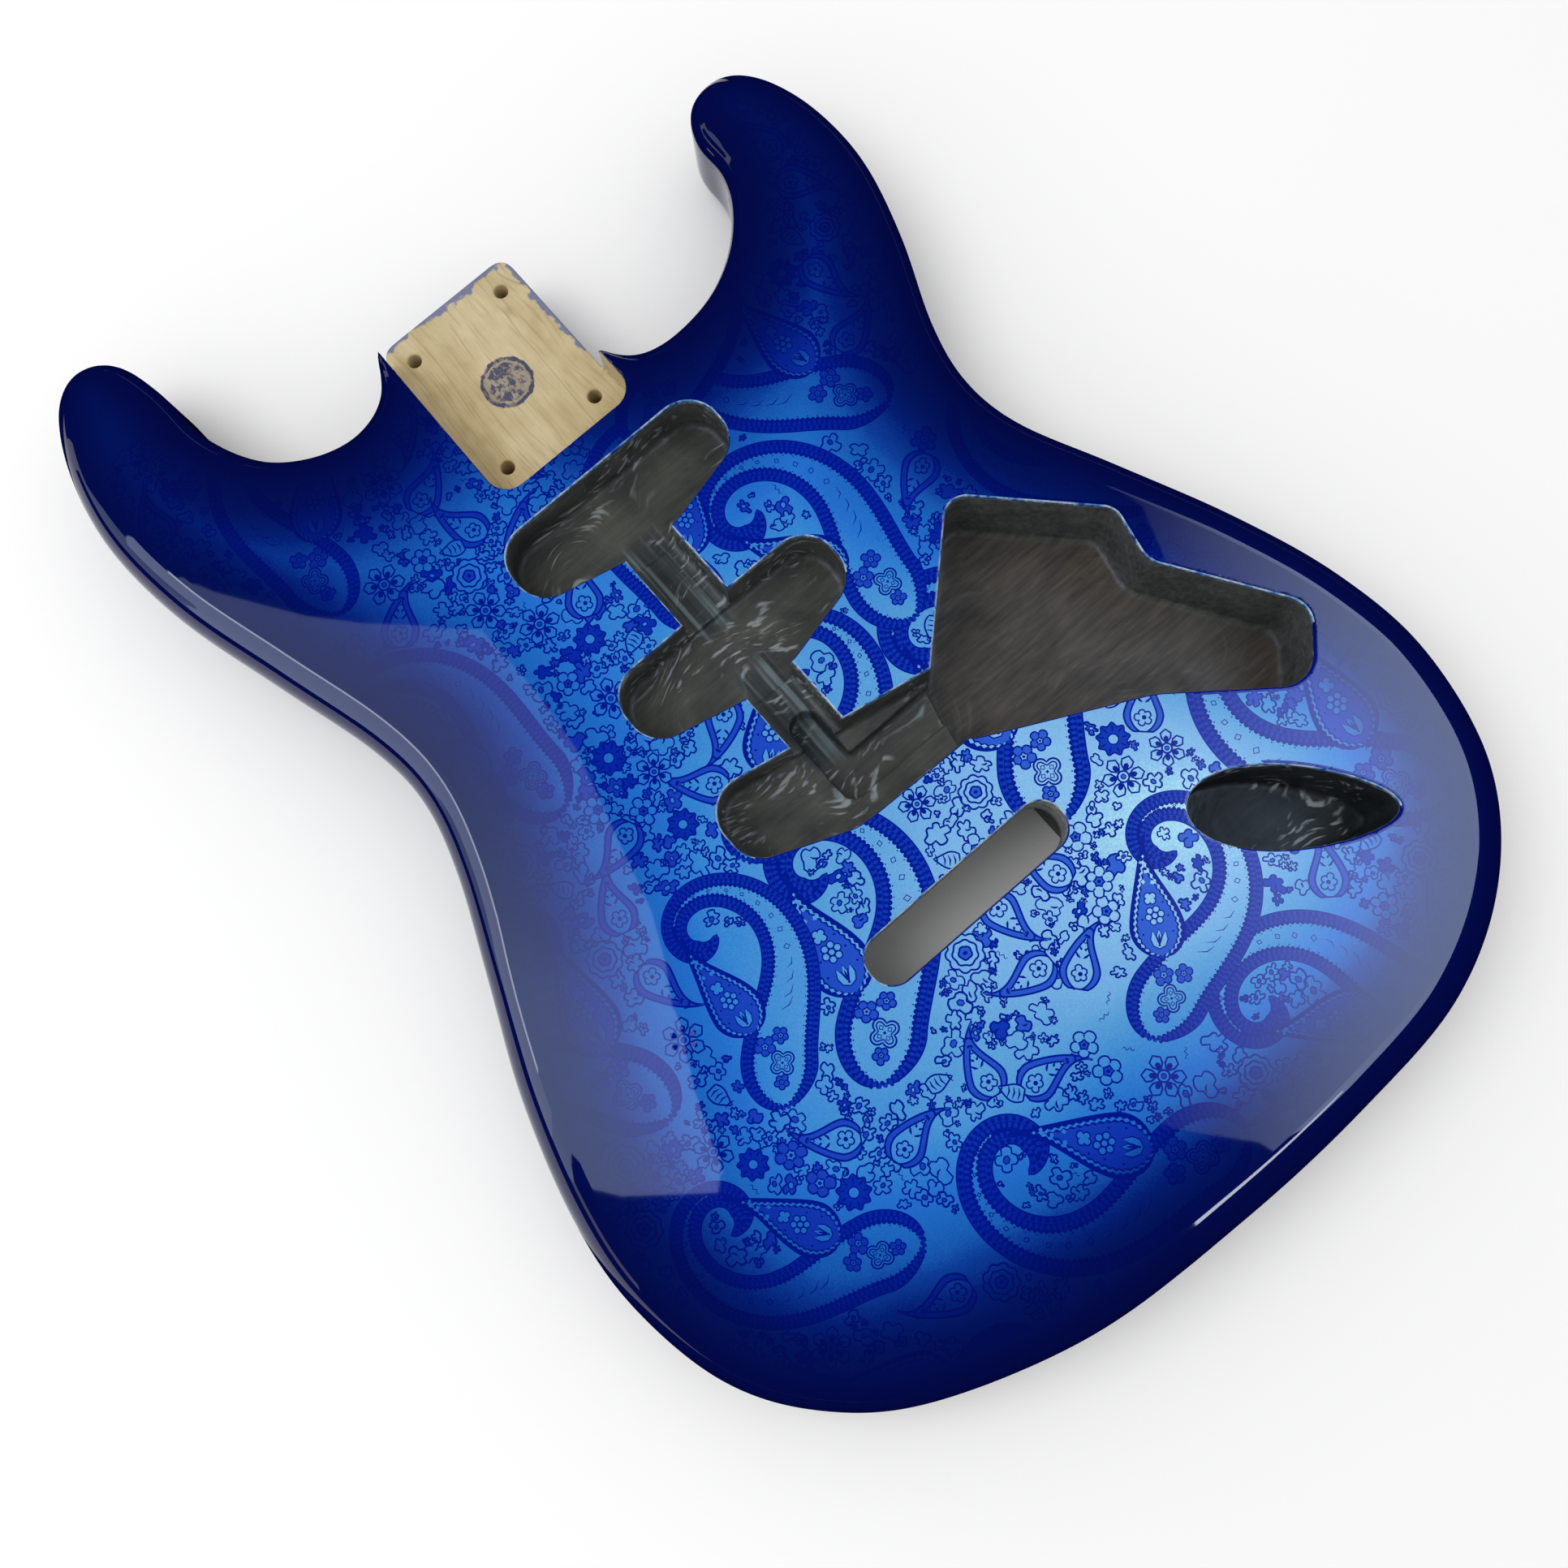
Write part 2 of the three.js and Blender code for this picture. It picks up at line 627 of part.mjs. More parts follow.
const body = routedBody();
const seam = centrePlankWidth * half;
const pieces = {
  bass_side_plank: plank(body, -bodyWidth, -seam),
  centre_plank: plank(body, -seam, seam),
  treble_side_plank: plank(body, seam, bodyWidth),
  printed_top_sheet: printedSheet(),
  pickup_cavity_shielding: paintCoat(pickupRoom, [controlRoom(-paintGap)]),
  control_cavity_shielding: paintCoat(controlRoom, [pickupRoom(-paintGap), ...wireHoles()]),
  jack_cavity_shielding: paintCoat(jackRoom, wireHoles()),
};

const part = new THREE.Group();
part.name = 'guitar_body';
for (const [name, solid] of Object.entries(pieces)) {
  const mesh = new THREE.Mesh(toGeometry(solid), new THREE.MeshStandardMaterial());
  mesh.name = name;
  part.add(mesh);
}

export default part;
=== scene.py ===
import math
import random

import bpy
import numpy as np
from mathutils import Euler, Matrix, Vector
from mathutils.geometry import delaunay_2d_cdt
from mathutils.kdtree import KDTree


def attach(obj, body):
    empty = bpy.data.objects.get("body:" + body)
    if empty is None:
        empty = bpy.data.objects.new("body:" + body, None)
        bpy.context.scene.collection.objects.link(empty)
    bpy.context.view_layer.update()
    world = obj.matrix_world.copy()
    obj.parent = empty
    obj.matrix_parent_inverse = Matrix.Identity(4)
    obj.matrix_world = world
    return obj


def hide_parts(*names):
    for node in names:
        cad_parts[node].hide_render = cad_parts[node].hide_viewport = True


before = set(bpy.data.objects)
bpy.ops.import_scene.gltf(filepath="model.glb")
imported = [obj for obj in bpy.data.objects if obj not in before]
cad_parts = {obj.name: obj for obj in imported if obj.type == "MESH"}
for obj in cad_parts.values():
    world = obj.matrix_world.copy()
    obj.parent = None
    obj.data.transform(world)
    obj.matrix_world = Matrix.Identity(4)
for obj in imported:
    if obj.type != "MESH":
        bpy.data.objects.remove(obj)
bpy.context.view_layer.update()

# Sizes are in mm and repeat the part's own named values
BODY_LENGTH, BODY_WIDTH, TOP, EDGE_RADIUS = 455, 321.5, 44.5, 12
POCKET_WIDTH, POCKET_LENGTH, POCKET_TAPER, POCKET_CORNER = 55.8, 76.2, 1.6, 8
TONGUE_LENGTH, TONGUE_CORNER, TONGUE_EDGE_RADIUS, TONGUE_EDGE_BLEND = 75, 6, 2.5, 8
TREBLE_SIDE, BASS_SIDE = POCKET_WIDTH / 2 - 0.3, (POCKET_WIDTH - POCKET_TAPER) / 2 - 0.5
TREBLE_FOOT = 20
OUTLINE_STEP, OUTLINE_EASE, SPAN_STEPS, ARC_STEPS = 1.5, 3.2, 24, 14
DEPTHS = {"pocket": 15.9, "pickup": 19, "channel": 16.5, "groove": 27, "control": 34, "jack": 32}
PICKUP_HALF, PICKUP_LENGTH, PICKUP_CORNER, PICKUP_NOSE, NOSE_RADIUS = 42.3, 23.6, 11.6, 10, 60
NECK_PICKUP_TOP, PICKUP_PITCH, PICKUP_DRIFT = -11.5, 59.4, -1.6
BRIDGE_HALF, BRIDGE_TOP = 44.5, NECK_PICKUP_TOP - PICKUP_PITCH - 54.5
BRIDGE_LENGTH, BRIDGE_NOSE, BRIDGE_SLOPE = 25.6, 6.4, math.tan(math.radians(10.8))
BRIDGE_BEND_X, BRIDGE_BEND_RISE, BRIDGE_BEND_RADIUS = -11.4, 0.22, 30
CHANNEL_X, CHANNEL_Y, CHANNEL_WIDTH, CHANNEL_LENGTH = -2.2, -80.75, 18.4, 114.9
GROOVE_BASS, GROOVE_ABOVE, GROOVE_LENGTH, GROOVE_STEM, GROOVE_ARM = -7, 12, 34, 11, 13.8
CONTROL_X, CONTROL_Y, CONTROL_WIDTH, CONTROL_LENGTH = 31, -93.5, 110.5, 121.5
WIREWAY_END = CONTROL_X + GROOVE_STEM
JACK_CENTRE, JACK_LENGTH, JACK_HALF_WIDTH = np.array([92.55, -238.25]), 64.5, 13
JACK_SKEW, JACK_TURN = 0.22, math.radians(-41)
SLOT_Y, SLOT_SIZE = -192.6, (77, 16.3, 7.6)
SPRING_CENTRE, SPRING_SIZE, SPRING_DEPTH = SLOT_Y + 15.5 + 43, (58, 104, 9), 16
BLOCK_SIZE, BLOCK_DEPTH = (82, 31, 8), 27
SCREWS, SCREW_RADIUS = [(x, y) for x in (-19.05, 19.05) for y in (14.4, 65.2)], 2.4
BEVEL_DROP, BEVEL_BLEND = 12, 0.36
BELLY_X, BELLY_Y = -0.372 * BODY_WIDTH, -0.1 * BODY_LENGTH
BELLY_WIDTH, BELLY_HALF_LENGTH, BELLY_DEPTH = 48, 118, 15
SHEET, LIP, FILLET, RIM_DEPTH = 0.4, 0.8, 2.4, 0.9
PAINT_COAT, PAINT_WAVE, PAINT_FOOT = 0.2, 0.12, 0.05
WALL_STEP, WALL_GAP, EDGE_GAP = 1.6, 3.2, 1.2
FRONT_GRID, BACK_GRID, SHEET_GRID = 6, 9, 4
# A way through counts as this deep, and its lip is that of a shallow drop
THROUGH, THROUGH_DROP = 1e6, 8

OUTLINE_SHARES = [
    (0.118, 0.0277), (0.156, 0.022), (0.212, 0.0275), (0.262, 0.046), (0.2995, 0.0737),
    (0.3172, 0.102), (0.319, 0.131), (0.3375, 0.1532), (0.3725, 0.159), (0.4032, 0.1484),
    (0.4255, 0.123), (0.4385, 0.083), (0.4358, 0.03), (0.4085, -0.033), (0.369, -0.097),
    (0.353, -0.146), (0.362, -0.195), (0.4053, -0.2633), (0.457, -0.3477), (0.492, -0.4267),
    (0.5015, -0.505), (0.4693, -0.59), (0.3937, -0.6522), (0.286, -0.6905), (0.15, -0.702),
    (0, -0.7034), (-0.18, -0.6935), (-0.3372, -0.66), (-0.4248, -0.6168), (-0.479, -0.56),
    (-0.5, -0.483), (-0.4905, -0.413), (-0.455, -0.33), (-0.4065, -0.254), (-0.3643, -0.1845),
    (-0.344, -0.1275), (-0.35, -0.074), (-0.382, 0.006), (-0.416, 0.093), (-0.427, 0.169),
    (-0.412, 0.232), (-0.38, 0.2787), (-0.34, 0.295), (-0.301, 0.2825), (-0.2847, 0.244),
    (-0.2783, 0.1937), (-0.2492, 0.1498), (-0.205, 0.1255), (-0.157, 0.117), (-0.114, 0.1275),
]
CONTROL_SHARES = [
    (0.059, 0.329, 0.016), (0.443, 0, 0.058), (0.778, 0.317, 0.058), (0.74, 0.477, 0.082),
    (1, 0.84, 0.074), (0.842, 1, 0.09), (0.489, 0.749, 0.33), (0, 0.523, 0.041),
]


def smooth(t):
    t = np.clip(t, 0, 1)
    return t * t * (3 - 2 * t)


def unit(v):
    return v / np.linalg.norm(v)


def left(v):
    """Directions turned a quarter to the left."""
    return np.stack([-v[..., 1], v[..., 0]], -1)


def turned(p, angle, x=0.0, y=0.0):
    """Points turned by an angle in radians, then moved."""
    c, s = math.cos(angle), math.sin(angle)
    return np.stack([p[..., 0] * c - p[..., 1] * s + x, p[..., 0] * s + p[..., 1] * c + y], -1)


def wound(loop):
    """A loop that runs counterclockwise."""
    loop = np.asarray(loop, float)
    x, y = loop.T
    return loop if np.sum(x * np.roll(y, -1) - np.roll(x, -1) * y) > 0 else loop[::-1].copy()


def normals_of(loop):
    """Unit normals that point into a counterclockwise loop."""
    chord = np.roll(loop, -1, 0) - np.roll(loop, 1, 0)
    return left(chord / np.linalg.norm(chord, axis=1)[:, None])


def tree_of(points):
    tree = KDTree(len(points))
    for i, p in enumerate(points):
        tree.insert((p[0], p[1], 0), i)
    tree.balance()
    return tree


def spline(points):
    pts = np.array(points, float)
    out = []
    for i in range(len(pts) - 1):
        p0, p1 = pts[max(i - 1, 0)], pts[i]
        p2, p3 = pts[i + 1], pts[min(i + 2, len(pts) - 1)]
        for t in np.linspace(0, 1, SPAN_STEPS, endpoint=False):
            v0, v1 = (p2 - p0) / 2, (p3 - p1) / 2
            out.append((2 * p1 - 2 * p2 + v0 + v1) * t ** 3
                       + (-3 * p1 + 3 * p2 - 2 * v0 - v1) * t ** 2 + v0 * t + p1)
    out.append(pts[-1])
    return np.array(out)


def resample(points, step, closed=False):
    pts = np.vstack([points, points[:1]]) if closed else np.asarray(points)
    run = np.concatenate([[0], np.cumsum(np.linalg.norm(np.diff(pts, axis=0), axis=1))])
    at = np.linspace(0, run[-1], max(int(round(run[-1] / step)), 2) + 1)
    res = np.stack([np.interp(at, run, pts[:, k]) for k in (0, 1)], 1)
    return res[:-1] if closed else res


def relax(points, sigma, step):
    """Smooths an open, evenly spaced line and keeps both of its ends."""
    reach = int(4 * sigma / step)
    weights = np.exp(-0.5 * (np.arange(-reach, reach + 1) * step / sigma) ** 2)
    weights /= weights.sum()
    head = 2 * points[0] - points[reach:0:-1]
    tail = 2 * points[-1] - points[-2:-reach - 2:-1]
    padded = np.vstack([head, points, tail])
    return np.stack([np.convolve(padded[:, k], weights, "valid") for k in (0, 1)], 1)


def refine(loop):
    """Adds points to the long sides of a loop and keeps its own points."""
    out = []
    for a, b in zip(loop, np.roll(loop, -1, 0)):
        count = max(int(math.ceil(np.linalg.norm(b - a) / WALL_STEP)), 1)
        out += [a + (b - a) * k / count for k in range(count)]
    return np.array(out)


def body_outline():
    low, end, corner = TONGUE_LENGTH - TONGUE_CORNER, TONGUE_LENGTH, TONGUE_CORNER
    shares = [(x * BODY_WIDTH, y * BODY_LENGTH) for x, y in OUTLINE_SHARES]
    path = [(TREBLE_SIDE, TREBLE_FOOT), *shares, (-BASS_SIDE, low)]
    line = relax(resample(spline(path), OUTLINE_STEP), OUTLINE_EASE, OUTLINE_STEP)
    bass, treble = [
        [a * (1 - t) ** 2 + 2 * b * t * (1 - t) + c * t * t for t in np.linspace(0, 1, 9)]
        for a, b, c in np.array([
            [(-BASS_SIDE, low), (-BASS_SIDE, end), (-BASS_SIDE + corner, end)],
            [(TREBLE_SIDE - corner, end), (TREBLE_SIDE, end), (TREBLE_SIDE, low)]])]

    def between(a, b):
        return resample(np.array([a, b]), OUTLINE_STEP)[1:-1]
    loop = np.vstack([line[:-1], bass, between(bass[-1], treble[0]), treble,
                      between(treble[-1], line[0])])
    return loop[::-1].copy()


def edge_radii(loop):
    """The roundover's radius at each point, smaller round the tongue and in tight bends."""
    away = np.hypot(np.maximum(np.abs(loop[:, 0]) - POCKET_WIDTH / 2, 0),
                    np.maximum(np.maximum(-loop[:, 1], loop[:, 1] - TONGUE_LENGTH), 0))
    share = smooth(away / TONGUE_EDGE_BLEND)
    r = TONGUE_EDGE_RADIUS + (EDGE_RADIUS - TONGUE_EDGE_RADIUS) * share
    # A circle through each point and its fourth neighbours gives the bend there
    before, after = loop - np.roll(loop, 4, 0), np.roll(loop, -4, 0) - loop
    turn = 2 * (before[:, 0] * after[:, 1] - before[:, 1] * after[:, 0])
    size = np.linalg.norm(before, axis=1) * np.linalg.norm(after, axis=1)
    chord = np.linalg.norm(before + after, axis=1)
    r = np.minimum(r, 0.85 * np.where(turn > 1e-6, size * chord / np.maximum(turn, 1e-6), 1e9))
    weights = np.exp(-0.5 * (np.arange(-8, 9) / 3) ** 2)
    padded = np.concatenate([r[-8:], r, r[:8]])
    return np.minimum(np.convolve(padded, weights / weights.sum(), "valid"), r + 0.4)


def rounded(corners):
    """A loop from corners given as x, y and radius."""
    pts = [np.array(c[:2], float) for c in corners]
    loop = []
    for i, (_, _, radius) in enumerate(corners):
        p = pts[i]
        if radius == 0:
            loop.append(p)
            continue
        d0, d1 = unit(p - pts[i - 1]), unit(pts[(i + 1) % len(pts)] - p)
        bend = math.acos(max(-1, min(1, float(d0 @ d1))))
        way = math.copysign(1, d0[0] * d1[1] - d0[1] * d1[0])
        spoke = -left(d0) * way * radius
        centre = p - d0 * radius * math.tan(bend / 2) - spoke
        loop += [centre + turned(spoke, way * bend * k / ARC_STEPS)
                 for k in range(ARC_STEPS + 1)]
    return wound(loop)


CORNERS = ((-1, -1), (1, -1), (1, 1), (-1, 1))


def rectangle(x, y, width, length, radius):
    return rounded([(x + i * width / 2, y + j * length / 2, radius) for i, j in CORNERS])


def ellipse(x, y, rx, ry, angle=0.0, sides=9):
    a = np.linspace(0, 2 * math.pi, sides, endpoint=False)
    return turned(np.stack([rx * np.cos(a), ry * np.sin(a)], 1), angle, x, y)


def disc(radius, sides, x=0, y=0, angle=0.0):
    return ellipse(x, y, radius, radius, angle, sides)


def pickup_loop(index):
    top, x = NECK_PICKUP_TOP - PICKUP_PITCH * index, PICKUP_DRIFT * index
    low = top - PICKUP_LENGTH
    return rounded([
        (x - PICKUP_HALF, top, PICKUP_CORNER), (x - PICKUP_HALF, low, PICKUP_CORNER),
        (x, low - PICKUP_NOSE, NOSE_RADIUS),
        (x + PICKUP_HALF, low, PICKUP_CORNER), (x + PICKUP_HALF, top, PICKUP_CORNER)])


def bridge_loop():
    bass, bass_top = -BRIDGE_HALF, BRIDGE_TOP + BRIDGE_HALF * BRIDGE_SLOPE
    low = BRIDGE_TOP - BRIDGE_LENGTH - BRIDGE_NOSE
    return rounded([
        (bass, bass_top, PICKUP_CORNER), (bass, bass_top - BRIDGE_LENGTH, PICKUP_CORNER),
        (BRIDGE_BEND_X, low + BRIDGE_NOSE * BRIDGE_BEND_RISE, BRIDGE_BEND_RADIUS),
        (WIREWAY_END, low, 0), (WIREWAY_END, BRIDGE_TOP - WIREWAY_END * BRIDGE_SLOPE, 0)])


def groove_loop():
    bass, start, stem = GROOVE_BASS, BRIDGE_TOP + GROOVE_ABOVE, GROOVE_BASS + GROOVE_STEM
    end = start - GROOVE_LENGTH
    arm = end + GROOVE_ARM
    return rounded([(bass, start, 5), (bass, end, 5), (WIREWAY_END, end, 0), (WIREWAY_END, arm, 0),
                    (stem, arm, 1.2), (stem, start, 5)])


def control_loop():
    wide, long = CONTROL_WIDTH, CONTROL_LENGTH
    return rounded([(CONTROL_X + x * wide, CONTROL_Y - y * long, radius * long)
                    for x, y, radius in CONTROL_SHARES])


def jack_loop():
    a = np.linspace(0, 2 * math.pi, 120, endpoint=False)
    across = np.sin(a) * JACK_HALF_WIDTH * (1 - JACK_SKEW * np.cos(a))
    return turned(np.stack([np.cos(a) * JACK_LENGTH / 2, across], 1), JACK_TURN) + JACK_CENTRE


def pocket_loop():
    side, open_end = POCKET_WIDTH / 2, TONGUE_LENGTH + 3
    narrow = side - POCKET_TAPER / 2 * open_end / POCKET_LENGTH
    return rounded([(-side, 0, POCKET_CORNER), (side, 0, POCKET_CORNER), (side, open_end, 0),
                    (-narrow, open_end, 0)])


outline = body_outline()
inward = normals_of(outline)
radii = edge_radii(outline)
outline_tree = tree_of(outline)
# The forearm bevel begins at a crease across the bass side of the front
crease = np.array([(-0.35, -0.23), (-0.11, -0.706)]) * (BODY_WIDTH, BODY_LENGTH)
crease_out = -left(unit(crease[1] - crease[0]))
crease_reach = float(np.max((outline - crease[0]) @ crease_out))


def nearest_of(points, a, b):
    """The nearest of several segments to each point: its distance, step, share along and index."""
    t = np.clip(((points - a) * (b - a)).sum(-1) / ((b - a) ** 2).sum(-1), 0, 1)
    steps = a + (b - a) * t[..., None] - points
    far = np.linalg.norm(steps, axis=-1)
    best = far.argmin(0), np.arange(len(points))
    return far[best], steps[best], t[best], best


def outline_distance(points):
    """Distances of points to the outline, and the edge radii there."""
    near = np.array([outline_tree.find((x, y, 0))[1] for x, y in points])
    j = np.stack([near - 1, near])
    k = (j + 1) % len(outline)
    far, _, t, best = nearest_of(points, outline[j], outline[k])
    return far, radii[j[best]] * (1 - t) + radii[k[best]] * t


def front_inside(x, y, margin):
    """Whether a place lies within the outline by more than a margin."""
    _, i, d = outline_tree.find((x, y, 0))
    return d > margin and float((np.array([x, y]) - outline[i]) @ inward[i]) > 0


def quarter(distance, radius):
    """How far a rounded edge has dropped at a distance in from its vertical face."""
    dip = radius - np.sqrt(np.maximum(radius ** 2 - (radius - distance) ** 2, 0))
    return np.where((radius > 0) & (distance < radius), dip, 0)


def forearm(points):
    """How far the forearm bevel lowers the front."""
    t = (points - crease[0]) @ crease_out / crease_reach
    curve = np.where(t < BEVEL_BLEND, t * t / (2 * BEVEL_BLEND), t - BEVEL_BLEND / 2)
    return np.where(t > 0, BEVEL_DROP * curve / (1 - BEVEL_BLEND / 2), 0)


def belly(points):
    """How far the belly scoop cuts into the back."""
    t = (BELLY_X + BELLY_WIDTH - points[:, 0]) / BELLY_WIDTH
    span = np.abs(points[:, 1] - BELLY_Y) / BELLY_HALF_LENGTH
    bend = np.minimum(t, 1) ** 2 / 2 + np.maximum(t - 1, 0) + t / 4
    scoop = np.minimum(BELLY_DEPTH * bend, BELLY_DEPTH) * smooth(1 - span)
    return np.where((t > 0) & (span < 1), scoop, 0)


def face_height(points, side):
    """Heights of the front, side 1, or the back, side -1, without their cavities."""
    drop = quarter(*outline_distance(points))
    z = TOP - drop if side > 0 else drop
    rise = np.clip((z - EDGE_RADIUS) / (TOP - 2 * EDGE_RADIUS), 0, 1)
    return z - forearm(points) * rise if side > 0 else z + belly(points) * (1 - rise)


def add_object(name, points, faces, materials):
    data = bpy.data.meshes.new(name)
    data.from_pydata([tuple(c / 1000 for c in p) for p in points], [], faces)
    for material in materials:
        data.materials.append(material)
    obj = bpy.data.objects.new(name, data)
    bpy.context.scene.collection.objects.link(obj)
    return obj


def add_piece(name, points, faces, tags, materials):
    """A smooth piece whose faces take the materials that their tags name."""
    names = list(dict.fromkeys(tags))
    piece = add_object(name, points, faces, [materials[tag] for tag in names])
    piece.data.polygons.foreach_set("material_index", [names.index(tag) for tag in tags])
    piece.data.validate()
    piece.data.shade_smooth()
    piece.data.set_sharp_from_angle(angle=math.radians(35))
    return piece


class Builder:
    """Collects welded vertices and faces with a material tag for each face."""

    def __init__(self):
        self.index, self.points, self.faces, self.tags = {}, [], [], []

    def vertex(self, p):
        p = tuple(float(c) for c in p)
        v = self.index.setdefault(tuple(round(c, 2) for c in p), len(self.points))
        if v == len(self.points):
            self.points.append(p)
        return v

    def face(self, corners, tag):
        ids = list(dict.fromkeys(self.vertex(p) for p in corners))
        if len(ids) > 2:
            self.faces.append(ids)
            self.tags.append(tag)

    def strip(self, rows, tag):
        """Quads up a wall. Each row holds its left and right points, from low to high."""
        for (a, b), (c, d) in zip(rows, rows[1:]):
            self.face((a, b, d, c), tag)


def triangulate(loops, lines=(), extra=()):
    """Constrained triangulation. Gives points, triangles and the loops that hold each triangle."""
    verts, faces, edges = [], [], []
    for loop in loops:
        faces.append(list(range(len(verts), len(verts) + len(loop))))
        verts += [Vector((p[0], p[1])) for p in loop]
    for line in lines:
        start = len(verts)
        verts += [Vector((p[0], p[1])) for p in line]
        edges += [(start + i, start + (i + 1) % len(line)) for i in range(len(line))]
    verts += [Vector((p[0], p[1])) for p in extra]
    out = delaunay_2d_cdt(verts, edges, faces, 0, 1e-4)
    return np.array([(v.x, v.y) for v in out[0]]), out[2], out[5]


def grid(step):
    xs = np.arange(-BODY_WIDTH / 2, BODY_WIDTH / 2 + step, step)
    ys = np.arange(-BODY_LENGTH * 0.71, BODY_LENGTH * 0.3, step)
    return [(x + (step / 2 if k % 2 else 0), y) for k, y in enumerate(ys) for x in xs]


def in_reach(points, walls):
    """Keeps the points that stand clear of walls and of the rounded edge."""
    tree = tree_of([a for _, _, a, _ in walls])
    d, r = outline_distance(np.array(points))
    return [(x, y) for (x, y), clear in zip(points, d > r + EDGE_GAP)
            if clear and tree.find((x, y, 0))[2] > WALL_GAP]


BEND_SHARES = [1 - math.cos(a) for a in (0.4, 0.8, 1.2, math.pi / 2)]
RING_ANGLES = [math.pi / 2 * k / 12 for k in range(1, 13)]
rings = [outline + inward * (radii * (1 - math.cos(a)))[:, None] for a in RING_ANGLES]
sheet_edge = rings[-1]


class Terrain:
    """A face of the body as levels under a plane, with upright walls between them.

    Spaces are (name, loop, depth), and the deepest one wins.
    """

    def __init__(self, spaces, side, step):
        self.side, self.names = side, [name for name, _, _ in spaces]
        self.depth = {"face": 0, "out": THROUGH * 10, **{name: depth for name, _, depth in spaces}}
        self.loops = [outline] + [refine(loop) for _, loop, _ in spaces]
        pts, tris, levels = self.cut()
        self.walls = [(low, high, pts[i], pts[j]) for low, high, i, j in self.walls_of(tris, levels)
                      if (low, high) != ("out", "face")]
        bends = {}
        for low, high, a, _ in self.walls:
            for key, size in zip(((low, 1), (high, -1)), self.bend(low, high)):
                bends.setdefault(key, []).append((a, size))
        self.bends = {key: (tree_of([a for a, _ in rows]), np.array([size for _, size in rows]))
                      for key, rows in bends.items()}
        self.points, self.tris, self.levels = self.cut(
            rings, self.beside_walls() + in_reach(grid(step), self.walls))
        self.heights = {name: self.z(self.points, name)
                        for name in dict.fromkeys(self.levels) if name not in ("out", "slot")}

    def cut(self, lines=(), extra=()):
        pts, tris, inside = triangulate(self.loops, lines, extra)
        return pts, tris, [self.level_of(ids) for ids in inside]

    def level_of(self, ids):
        names = [self.names[i - 1] for i in ids if i]
        return max(names, key=self.depth.get, default="face") if 0 in ids else "out"

    def walls_of(self, tris, levels):
        """Edges where two levels meet, as the low and high names and the two ends."""
        seen = {(tri[k], tri[(k + 1) % 3]): name
                for tri, name in zip(tris, levels) for k in range(3)}
        pairs = [(seen.get((j, i), "out"), high, i, j) for (i, j), high in seen.items()]
        return [wall for wall in pairs if self.depth[wall[1]] < self.depth[wall[0]]]

    def bend(self, low, high):
        """The radii of a wall's fillet and of its lip."""
        if low in ("slot", "out"):
            return 0, min(LIP, THROUGH_DROP * 0.3)
        drop = self.depth[low] - self.depth[high]
        return min(FILLET, drop * 0.55), min(LIP, drop * 0.3)

    def beside_walls(self):
        """Points beside the walls, where the lips and fillets bend."""
        out = []
        for low, high, a, b in self.walls:
            aside = left((b - a) / max(np.linalg.norm(b - a), 1e-9))
            fillet, lip = self.bend(low, high)
            for share in BEND_SHARES:
                out.append(a + aside * share * lip)
                if fillet:
                    out.append(a - aside * share * fillet)
        return out

    def z(self, points, name):
        z = face_height(points, self.side)
        if name != "face":
            level = self.depth[name]
            z = np.minimum(TOP - level, z) if self.side > 0 else np.maximum(level, z)
        for way in (1, -1):
            if (name, way) in self.bends:
                tree, sizes = self.bends[name, way]
                hits = [tree.find((x, y, 0)) for x, y in points]
                dip = quarter(np.array([hit[2] for hit in hits]), sizes[[hit[1] for hit in hits]])
                z = z + way * self.side * dip
        return z

    def faces(self):
        for tri, name in zip(self.tris, self.levels):
            if name not in ("out", "slot"):
                yield name, [(*self.points[i], self.heights[name][i]) for i in tri]

    def rows(self, ends, low, high, shares):
        """Points up a wall over its two ends. The shares are of the way from low to high."""
        return [[(*self.points[i], low[i] + (high[i] - low[i]) * s) for i in ends] for s in shares]


slots = [("slot", rectangle(0, SLOT_Y, *SLOT_SIZE), THROUGH)]
slots += [("slot", disc(SCREW_RADIUS, 28, x, y), THROUGH) for x, y in SCREWS]
front = Terrain([(name, loop, DEPTHS[name]) for name, loop in (
    ("pocket", pocket_loop()), ("pickup", pickup_loop(0)), ("pickup", pickup_loop(1)),
    ("pickup", bridge_loop()),
    ("channel", rectangle(CHANNEL_X, CHANNEL_Y, CHANNEL_WIDTH, CHANNEL_LENGTH, 0)),
    ("groove", groove_loop()), ("control", control_loop()),
    ("jack", jack_loop()))] + slots, 1, FRONT_GRID)
back = Terrain([("spring", rectangle(0, SPRING_CENTRE, *SPRING_SIZE), SPRING_DEPTH),
                ("block", rectangle(0, SLOT_Y, *BLOCK_SIZE), BLOCK_DEPTH)] + slots, -1, BACK_GRID)

skin = Builder()
liners = {name: Builder() for name in ("pickup", "control", "jack")}
liner_of = {"channel": liners["pickup"], "groove": liners["pickup"], **liners}

for name, corners in front.faces():
    if name == "face":
        d, r = outline_distance(np.array([[sum(c[k] for c in corners) / 3 for k in (0, 1)]]))
        if d > r:
            skin.face([(x, y, z - SHEET) for x, y, z in corners], "hidden")
        else:
            skin.face(corners, "edge")
    elif name == "pocket":
        skin.face(corners, "wood")
    else:
        skin.face(corners, "hidden")
        liner_of[name].face(corners, "paint")
for name, corners in back.faces():
    skin.face(corners[::-1], "edge" if name == "face" else "spring")

